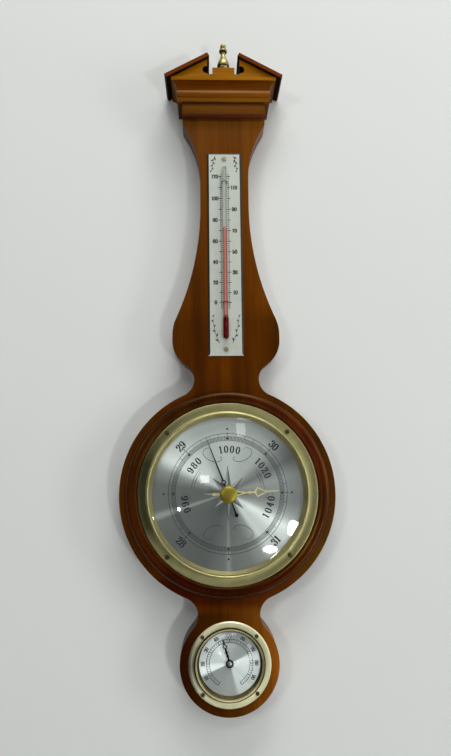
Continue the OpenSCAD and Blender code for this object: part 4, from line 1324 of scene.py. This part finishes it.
@dataclass
class Barometer:
    """Bezel, glass, dial, hands and knob of the barometer."""

    bench: Bench
    flange_r: float = 81.5
    # Painted shade and light round the bezel's flange, darkest at its left.
    bezel_fans: Curve = (
        (-180.0, 1.0), (-150.0, 0.8), (-125.0, 0.6), (-112.0, 0.2), (-70.0, 0.16), (-58.0, 0.4),
        (-48.0, 0.65), (-25.0, 1.0),
    )
    # Painted fans of light and shade on the dial, brightest towards the lower right and the upper left.
    dial_fans: Curve = (
        (-180.0, 0.42), (-177.0, 0.26), (-160.0, 0.18), (-135.0, 0.21), (-111.0, 0.23), (-108.0, 0.5),
        (-106.5, 0.48), (-103.0, 0.23), (-82.0, 0.23), (-70.0, 0.4), (-61.0, 0.88), (-50.0, 0.95),
        (-41.0, 0.95), (-25.0, 0.76), (20.0, 0.7), (40.0, 0.66), (52.0, 0.4), (62.0, 0.26), (75.0, 0.48),
        (98.0, 0.38), (112.0, 0.58), (120.0, 1.04), (128.0, 1.08), (136.0, 0.98), (143.0, 1.06),
        (151.0, 0.5), (162.0, 0.31), (177.0, 0.26), (180.0, 0.42),
    )

    def build(self) -> None:
        """Dresses the barometer's front and its hidden movement."""
        bench = self.bench
        centre = middle("barometer_dial")
        # The flange and the dial get painted fans of light and shade.
        flange = Glints(centre, self.bezel_fans, self.flange_r * MM)
        bench.soften("barometer_bezel", replace(SATIN_BRASS, glints=flange), sharp=34.0)
        for node, finish, edge in (
            ("bezel_screws", AGED_BRASS, 0.25),
            ("barometer_glass", CLEAR_GLASS, 0.0),
            ("reflector_ring", GOLD_RING, 0.0),
            ("set_knob", KNOB_BRASS, 0.0),
            ("glass_bush", HAND_GOLD, 0.0),
            ("set_hand", HAND_GOLD, 0.12),
            ("barometer_hand", BLUED_STEEL, 0.1),
        ):
            bench.soften(node, finish, edge, TURNED)
        fans = Glints(centre, self.dial_fans)
        silver = SpunDialFinish("barometer_silver", (0.96, 1.0, 0.97), (0.88, 0.92, 0.9), 0.2, fans)
        bench.dress(silver, "barometer_dial")
        BarometerDialPrint(bench).build()
        self._movement()

    def _movement(self) -> None:
        """Dresses the pieces inside the case."""
        bench = self.bench
        bench.dress(TINPLATE, "barometer_case")
        bench.dress(
            STEEL, "hand_arbor", "sector_stud", "rocking_shaft", "capsule_post", "plate_spacers",
            "movement_screws", "hairspring_stud", "adjusting_screw",
        )
        bench.dress(PLAIN_BRASS, "toothed_sector", "shaft_brackets", "movement_plate", "movement_bridge")
        bench.dress(CAPSULE_METAL, "vacuum_capsule")
        bench.dress(SPRING_METAL, "hairspring")


@dataclass
class Hygrometer:
    """Bezel, glass, dial and hand of the hygrometer, and its printed scale."""

    bench: Bench
    lift: float = 0.03
    span: float = 150.0
    arcs: Point = (19.8, 22.8)
    arc_line: float = 0.5
    tick_lines: Point = (0.7, 0.42)
    short_tick: float = 1.0
    number_r: float = 26.2
    number_height: float = 3.6
    flange_r: float = 34.5
    # Radii of the ring of painted shade over the bezel's groove.
    groove: Point = (33.3, 34.8)
    # Painted shade and light round the bezel's flange, darkest at its left.
    bezel_fans: Curve = (
        (-180.0, 0.8), (-140.0, 0.66), (-118.0, 0.28), (-90.0, 0.1), (-62.0, 0.28), (-40.0, 0.75),
        (0.0, 0.88), (50.0, 0.95), (90.0, 1.0), (130.0, 0.95), (180.0, 0.8),
    )
    # Painted fans of light and shade on the dial.
    dial_fans: Curve = (
        (-180.0, 0.5), (-115.0, 0.45), (-108.0, 1.3), (-92.0, 1.3), (-86.0, 1.0), (-60.0, 1.15),
        (-45.0, 1.3), (-20.0, 1.3), (-13.0, 1.0), (-8.0, 0.72), (62.0, 0.66), (70.0, 1.3), (95.0, 1.4),
        (120.0, 1.3), (134.0, 1.0), (138.0, 1.2), (160.0, 1.1), (166.0, 0.7), (170.0, 0.52), (180.0, 0.5),
    )

    def build(self) -> None:
        """Dresses the hygrometer."""
        bench = self.bench
        self._bezel()
        for node, finish, edge in (
            ("hygrometer_screws", AGED_BRASS, 0.2),
            ("hygrometer_glass", SMALL_GLASS, 0.0),
            # The spacer is painted with shade.
            ("hygrometer_spacer", SHADED_BRASS, 0.0),
            ("hygrometer_hand", BLACK_STEEL, 0.08),
            ("hygrometer_arbor", STEEL, 0.0),
        ):
            bench.soften(node, finish, edge, TURNED)
        # The dial gets painted fans of light and shade.
        fans = Glints(middle("hygrometer_dial"), self.dial_fans)
        silver = SpunDialFinish("hygrometer_silver", (0.96, 1.0, 0.99), (0.88, 0.92, 0.91), 0.15, fans)
        bench.dress(silver, "hygrometer_dial")
        bench.dress(TINPLATE, "hygrometer_case")
        bench.dress(PLAIN_BRASS, "hygrometer_bush")
        bench.dress(STEEL, "coil_post")
        bench.dress(COIL_STRIP, "humidity_coil")
        self._print()

    def _bezel(self) -> None:
        """Dresses the bezel: a pale flange with painted fans of light and shade, a ring of painted shade over
        its groove, and a golden lip.
        """
        centre = middle("hygrometer_dial")
        flange = Glints(centre, self.bezel_fans, self.flange_r * MM)
        bezel = self.bench.soften("hygrometer_bezel", replace(PALE_BRASS, glints=flange), sharp=20.0)

        def zone(face: Face) -> int:
            """Number of the finish of a face."""
            reach = math.hypot(face.center.x - centre[0], face.center.z - centre[1]) / MM
            if reach >= self.groove[1]:
                return 0
            return 1 if reach > self.groove[0] else 2

        self.bench.paint(bezel, [SHADED_BRASS, GOLD_RING], zone)

    def _print(self) -> None:
        """Prints the humidity scale, 0 to 100."""
        sheet = InkSheet(middle("hygrometer_dial"), front("hygrometer_dial") - self.lift * MM)
        figures = Numerals(stem=0.23, hair=0.09)
        inner, outer = self.arcs
        for radius in self.arcs:
            sheet.ring(radius, self.arc_line, -self.span, self.span)
        for percent in range(0, 101, 2):
            a = -self.span + 2.0 * self.span * percent / 100.0
            if percent % 10:
                sheet.tick(a, inner + self.short_tick, outer, self.tick_lines[1])
                continue
            sheet.tick(a, inner, outer, self.tick_lines[0])
            if 0 < percent < 100:
                figures.write(sheet, str(percent), self.number_height, polar(self.number_r, a), a)
        self.bench.place("hygrometer_print", sheet.bm, INK, "case", "black_steel")


@dataclass
class Thermometer:
    """Scale plate, tube and spirit of the thermometer."""

    bench: Bench
    lift: float = 0.03
    zero: float = 194.97
    degree: float = 1.0515
    stretch: float = 7.857e-4
    printed: tuple[int, int] = (-6, 122)
    numbered: tuple[int, int] = (0, 120)
    rail_line: float = 0.42
    tick_lines: Point = (0.46, 0.85)
    tick_x: float = 2.4
    tick_reach: Point = (4.4, 6.3)
    number_x: float = 10.2
    number_height: float = 4.2
    lens: float = 2.0
    bulb_lens: float = 1.3
    bevel: Point = (-0.97, -0.1)
    lower_bevel: float = -0.3
    inward: float = -1e-6
    enamel_from: float = 0.05
    deep_from: float = 0.3
    column_rows: int = 60
    column_sides: int = 24
    lower_sprig: Curve = ((6.8, 12.9), (10.2, 21.5), (12.6, 31.5), (13.5, 42.0))
    upper_sprig: Curve = ((9.6, 3.6), (11.6, 8.4), (12.4, 14.4), (13.6, 20.5))
    stem_lines: Point = (0.6, 0.3)
    leaf_length: Point = (4.2, 2.2)
    leaf_lean: Point = (0.8, 0.6)
    leaf: Curve = ((0.0, 0.4), (0.4, 1.6), (0.75, 1.2), (1.0, 0.15))

    def height(self, degrees: float) -> float:
        """Height of a reading above the barometer's centre, in millimetres."""
        return self.zero + self.degree * degrees + self.stretch * degrees**2

    def build(self) -> None:
        """Dresses the thermometer and prints its plate."""
        bench = self.bench
        self._plate()
        self._tube()
        bench.soften("tube_staples", DARK_STEEL, sharp=TURNED)
        bench.soften("thermometer_screws", SCREW_BRASS, 0.2, TURNED)
        bulb = axis("spirit_reservoir")
        self._widen("spirit_reservoir", "bulb_spirit", DARK_SPIRIT, "case", self.bulb_lens, bulb)
        self._spirit()
        column = axis("spirit_column")
        self._widen("spirit_meniscus", "spirit_top", RED_SPIRIT, "spirit_level", self.lens, column)
        self._print()

    def _plate(self) -> None:
        """Dresses the plate: a satin face, bevels with painted dark reflections, the lowest with a painted
        bright one.
        """
        bm = self.bench.copy("thermometer_plate")
        self.bench.merge(bm)
        plate = self.bench.swap("thermometer_plate", bm, SCALE_SILVER, sharp=20.0)

        def zone(face: Face) -> int:
            """Number of the finish of a face."""
            if not self.bevel[0] < face.normal.y < self.bevel[1]:
                return 0
            return 2 if face.normal.z < self.lower_bevel else 1

        # The bevels get painted dark reflections, the lowest a painted bright reflection.
        self.bench.paint(plate, [DARK_BEVEL, BRIGHT_BEVEL], zone)

    def _tube(self) -> None:
        """Keeps the tube's outer skin: clear in front, so that what it holds shows, and enamelled behind."""
        x, y = axis("thermometer_tube")
        bm = self.bench.copy("thermometer_tube")
        inner = []
        for face in bm.faces:
            spot = face.calc_center_median()
            if face.normal.x * (spot.x - x) + face.normal.y * (spot.y - y) < self.inward:
                inner.append(face)
        bmesh.ops.delete(bm, geom=inner, context="FACES")
        piece = self.bench.place("tube_skin", bm, TUBE_GLASS, "case", "clear_glass", TURNED)
        self.bench.paint(piece, [TUBE_ENAMEL], lambda face: int(face.normal.y > self.enamel_from))
        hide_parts("thermometer_tube")

    def _widen(self, node: str, name: str, finish: Finish, body: str, lens: float, at: Point) -> None:
        """Replaces a piece of the spirit by a wider one, as the round glass shows it.

        Args:
            node: The CAD node.
            name: The new piece's name.
            finish: Its finish.
            body: The body that carries it.
            lens: How many times wider it is.
            at: x and y of the axis round which it is widened.
        """
        bm = self.bench.copy(node)
        centre = Vector((*at, 0.0))
        wider = Matrix.Diagonal((lens, lens, 1.0, 1.0))
        about = Matrix.Translation(centre) @ wider @ Matrix.Translation(-centre)
        bmesh.ops.transform(bm, matrix=about, verts=bm.verts)
        piece = self.bench.place(name, bm, finish, body, "red_spirit", TURNED)
        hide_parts(node)

    def _spirit(self) -> None:
        """Makes the spirit column."""
        low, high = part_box("spirit_column")
        x, y = axis("spirit_column")
        radius = self.lens * (high[0] - low[0]) / 2.0
        sides = self.column_sides
        bm = bmesh.new()
        rings = []
        for z in between(low[2], high[2], self.column_rows):
            spots = (polar(radius, 90.0 - 360.0 * k / sides) for k in range(sides))
            rings.append([bm.verts.new((x + px, y + py, z)) for px, py in spots])
        for lower, upper in zip(rings, rings[1:]):
            for k in range(sides):
                bm.faces.new((lower[k], lower[(k + 1) % sides], upper[(k + 1) % sides], upper[k]))
        bm.faces.new(list(reversed(rings[0])))
        bm.faces.new(rings[-1])
        piece = self.bench.shape("spirit_thread", bm, RED_SPIRIT)
        # Painted shade on the column's right side.
        self.bench.paint(piece, [SHADED_SPIRIT], lambda face: int(face.normal.x > self.deep_from))
        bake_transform(piece)
        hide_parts("spirit_column")

    def _print(self) -> None:
        """Prints degrees, numbers and corner sprigs."""
        dial = middle("barometer_dial")
        sheet = InkSheet(dial, front("thermometer_plate") - self.lift * MM)
        figures = Numerals(stem=0.27, hair=0.11, gap=0.1, narrow=0.95)
        first, last = self.printed
        for side in SIDES:
            x = side * self.tick_reach[0]
            sheet.stroke([(x, self.height(first)), (x, self.height(last))], [self.rail_line] * 2)
        for degree in range(first, last + 1, 2):
            z = self.height(degree)
            ten = degree % 10 == 0
            far, line = self.tick_reach[ten], self.tick_lines[ten]
            for side in SIDES:
                sheet.stroke([(side * self.tick_x, z), (side * far, z)], [line] * 2)
            if ten and self.numbered[0] <= degree <= self.numbered[1]:
                side = -1.0 if degree % 20 == 0 else 1.0
                figures.write(sheet, str(degree), self.number_height, (side * self.number_x, z))
        low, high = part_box("thermometer_plate")
        bottom, top = (low[2] - dial[1]) / MM, (high[2] - dial[1]) / MM
        for side in SIDES:
            self._sprig(sheet, [(side * x, bottom + rise) for x, rise in self.lower_sprig])
            self._sprig(sheet, [(side * x, top - drop) for x, drop in self.upper_sprig])
        self.bench.place("thermometer_print", sheet.bm, INK, "case", "black_steel")

    def _sprig(self, sheet: InkSheet, spine: Sequence[Point]) -> None:
        """Draws one leafy sprig along a spine.

        Args:
            sheet: The sheet to draw on.
            spine: Points from the sprig's foot to its tip.
        """
        stem = smooth(spine)
        last = len(stem) - 1
        sheet.stroke(stem, between(*self.stem_lines, last))
        lengths = between(*self.leaf_length, last)
        ahead, aside = self.leaf_lean
        for i, k in enumerate(range(2, last, 3)):
            (ax, az), (bx, bz) = stem[k - 1], stem[k + 1]
            size = math.hypot(bx - ax, bz - az) / lengths[k]
            dx, dz = (bx - ax) / size, (bz - az) / size
            lean = aside if i % 2 == 0 else -aside
            tip = (dx * ahead - dz * lean, dz * ahead + dx * lean)
            leaf = [(stem[k][0] + tip[0] * share, stem[k][1] + tip[1] * share) for share, _ in self.leaf]
            sheet.stroke(leaf, [width for _, width in self.leaf])


@dataclass
class Back:
    """Hanger plate and screws at the back."""

    bench: Bench

    def build(self) -> None:
        """Dresses the hanging pieces."""
        self.bench.soften("hanger_plate", TINPLATE, 0.15, TURNED)
        self.bench.dress(STEEL, "hanger_screws")


@dataclass(frozen=True)
class Lamp:
    """A soft light that looks at the barometer's dial."""

    name: str
    place: Corner
    size: Point
    watts: float
    colour: Colour = WHITE
    shape: LampShape = LampShape.SQUARE
    target: Corner = (0.0, 0.0, -0.385)

    def light(self) -> None:
        """Adds the light to the scene."""
        data = bpy.data.lights.new(self.name, "AREA")
        data.shape = self.shape.value
        data.size, data.size_y = self.size
        data.energy = self.watts
        data.color = self.colour
        holder = stand(self.name, data)
        holder.location = self.place
        aim = Vector(self.target) - Vector(self.place)
        holder.rotation_euler = aim.to_track_quat("-Z", "Y").to_euler()


# The first five lamps are what the barometer's glass mirrors, the others light the scene.
LAMPS = (
    Lamp("window_low", (0.56, -1.5, -1.2), (0.19, 0.1), 0.9, shape=LampShape.ROUND),
    Lamp("window_high", (0.85, -1.5, -0.96), (0.13, 0.2), 5.0, shape=LampShape.ROUND),
    Lamp("bulb", (-0.516, -1.5, -0.681), (0.04, 0.04), 0.3, shape=LampShape.ROUND),
    Lamp("skylight", (0.212, -1.5, 0.233), (0.11, 0.15), 0.2),
    Lamp("lantern", (-0.21, -1.5, -0.34), (0.1, 0.08), 0.14),
    Lamp("front", (0.1, -2.2, 1.25), (2.0, 0.5), 10.5),
    Lamp("ceiling", (0.3, -0.9, 1.9), (1.3, 0.7), 30.0, (1.0, 0.99, 0.96)),
    Lamp("side", (1.7, -0.8, -0.2), (0.3, 1.2), 8.0),
    Lamp("left", (-1.02, -1.656, 0.078), (0.3, 0.3), 4.5),
    Lamp("upper_left", (-0.6, -1.1, 1.6), (0.5, 0.4), 4.0),
    Lamp("behind", (-0.7, 1.8, 0.5), (1.2, 1.2), 40.0),
    Lamp("upper_right", (1.2, -1.2, 0.9), (0.5, 0.5), 2.0),
)


@dataclass
class Studio:
    """Wall, floor, lights and the camera of the photograph."""

    focal_px: float = 568.0
    frame_px: tuple[int, int] = (451, 756)
    sensor: float = 36.0
    pitch: float = -0.1171
    yaw: float = -0.0313
    roll: float = -0.0114
    place: Corner = (-19.17, -603.58, 48.01)
    wall_tone: Colour = (0.755, 0.775, 0.755)
    wall_y: float = 0.0005
    wall_top: float = 3.0
    half_width: float = 4.0
    floor_z: float = -1.9
    floor_front: float = -1.2
    room_up: Corner = (1.0, 0.0, 0.2)
    room_levels: Point = (0.02, 0.4)
    room_tint: Colour = (0.95, 0.98, 1.0)

    def build(self) -> None:
        """Sets up the wall, the floor, the lights and the camera."""
        wide, y, low, top, near = self.half_width, self.wall_y, self.floor_z, self.wall_top, self.floor_front
        self._sheet("wall", [(-wide, y, low), (wide, y, low), (wide, y, top), (-wide, y, top)], self._gap())
        self._sheet("floor", [(-wide, y, low), (-wide, near, low), (wide, near, low), (wide, y, low)])
        for lamp in LAMPS:
            lamp.light()
        self._room()
        bpy.context.scene.view_settings.view_transform = "Standard"
        self._camera()

    def _camera(self) -> None:
        """Sets the camera at the photograph's viewpoint."""
        turns = ((self.roll, "Z"), (self.pitch, "X"), (self.yaw, "Y"))
        rz, rx, ry = (Matrix.Rotation(angle, 3, letter) for angle, letter in turns)
        right, down, ahead = rz @ rx @ ry @ Matrix(((1, 0, 0), (0, 0, -1), (0, 1, 0)))
        centre = middle("barometer_dial")
        spot = Vector((centre[0], 0.0, centre[1])) + Vector(self.place) * MM
        data = bpy.data.cameras.new("photo_view")
        data.sensor_fit = "AUTO"
        data.sensor_width = self.sensor
        data.lens = self.focal_px / self.frame_px[1] * self.sensor
        data.clip_start = 0.01
        holder = stand("photo_view", data)
        axes = Matrix((right, -down, -ahead)).transposed()
        holder.matrix_world = Matrix.Translation(spot) @ axes.to_4x4()
        bpy.context.scene.camera = holder

    def _gap(self) -> list[Corner]:
        """Finds the outline of the board's flat back, where the wall is left open so that light reaches it.

        Returns:
            The outline's corners, on the wall.
        """
        board = bpy.data.objects["backboard_finished"].data
        flat = (face for face in board.polygons if face.normal.y > 0.99 and face.center.y > -MM)
        uses = Counter(key for face in flat for key in face.edge_keys)
        links: dict[int, list[int]] = {}
        for a, b in (key for key, count in uses.items() if count == 1):
            links.setdefault(a, []).append(b)
            links.setdefault(b, []).append(a)
        start = max(links, key=lambda i: board.vertices[i].co.z)
        walk = [start, links[start][0]]
        while walk[-1] != start:
            walk.append(next(i for i in links[walk[-1]] if i != walk[-2]))
        return [(board.vertices[i].co.x, self.wall_y, board.vertices[i].co.z) for i in walk[:-1]]

    def _plaster(self, name: str) -> Material:
        """Builds a matt material that shows from its front only.

        Args:
            name: The material's name.

        Returns:
            The material.
        """
        g = Graph(name)
        cloud = g.noise((3.0, 3.0, 3.0), 2.0, 0.5)
        dull = tuple(0.98 * c for c in self.wall_tone)
        tone = g.ramp(cloud, "Fac", [(0.3, dull), (0.7, self.wall_tone)])
        matt = g.after(tone, "Color", "BsdfDiffuse", "Color")
        mix = g.after(g.add("NewGeometry"), "Backfacing", "MixShader", 0)
        g.join(matt, 0, mix, 1)
        g.join(g.add("BsdfTransparent"), 0, mix, 2)
        return g.finish(mix)

    def _sheet(self, name: str, corners: Sequence[Corner], gap: Sequence[Corner] = ()) -> None:
        """Adds a large plain sheet.

        Args:
            name: The sheet's name.
            corners: Its corners, in order.
            gap: The corners of an opening in it.
        """
        bm = bmesh.new()
        edges = []
        for loop in (corners, gap):
            points = [bm.verts.new(corner) for corner in loop]
            edges += [bm.edges.new((point, points[i - 1])) for i, point in enumerate(points)]
        first, second, third = (Vector(corner) for corner in corners[:3])
        normal = (second - first).cross(third - second).normalized()
        bmesh.ops.triangle_fill(bm, use_beauty=True, use_dissolve=False, edges=edges, normal=normal)
        for face in bm.faces:
            if face.normal.dot(normal) < 0.0:
                face.normal_flip()
        mesh = bpy.data.meshes.new(name)
        bm.to_mesh(mesh)
        bm.free()
        mesh.materials.append(self._plaster(name))
        stand(name, mesh)

    def _room(self) -> None:
        """Surrounds the scene with a room that is lighter to the right."""
        world = bpy.data.worlds.new("soft_room")
        world.use_nodes = True
        tree = world.node_tree
        where = tree.nodes.new("ShaderNodeTexCoord")
        along = tree.nodes.new("ShaderNodeVectorMath")
        along.operation = "DOT_PRODUCT"
        along.inputs[1].default_value = self.room_up
        level = tree.nodes.new("ShaderNodeMapRange")
        for key, value in zip(("To Min", "To Max"), self.room_levels):
            level.inputs[key].default_value = value
        back = tree.nodes["Background"]
        back.inputs["Color"].default_value = (*self.room_tint, 1.0)
        tree.links.new(where.outputs["Generated"], along.inputs[0])
        tree.links.new(along.outputs["Value"], level.inputs["Value"])
        tree.links.new(level.outputs["Result"], back.inputs["Strength"])
        bpy.context.scene.world = world


def main() -> None:
    """Builds every sub-assembly, then the studio."""
    logging.basicConfig(level=logging.INFO, format="%(name)s: %(message)s")
    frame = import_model()
    bench = Bench(frame)
    for assembly in (Woodwork(bench), Barometer(bench), Hygrometer(bench), Thermometer(bench), Back(bench)):
        assembly.build()
        log.info("%s done", type(assembly).__name__)
    Studio().build()


if __name__ == "__main__":
    main()
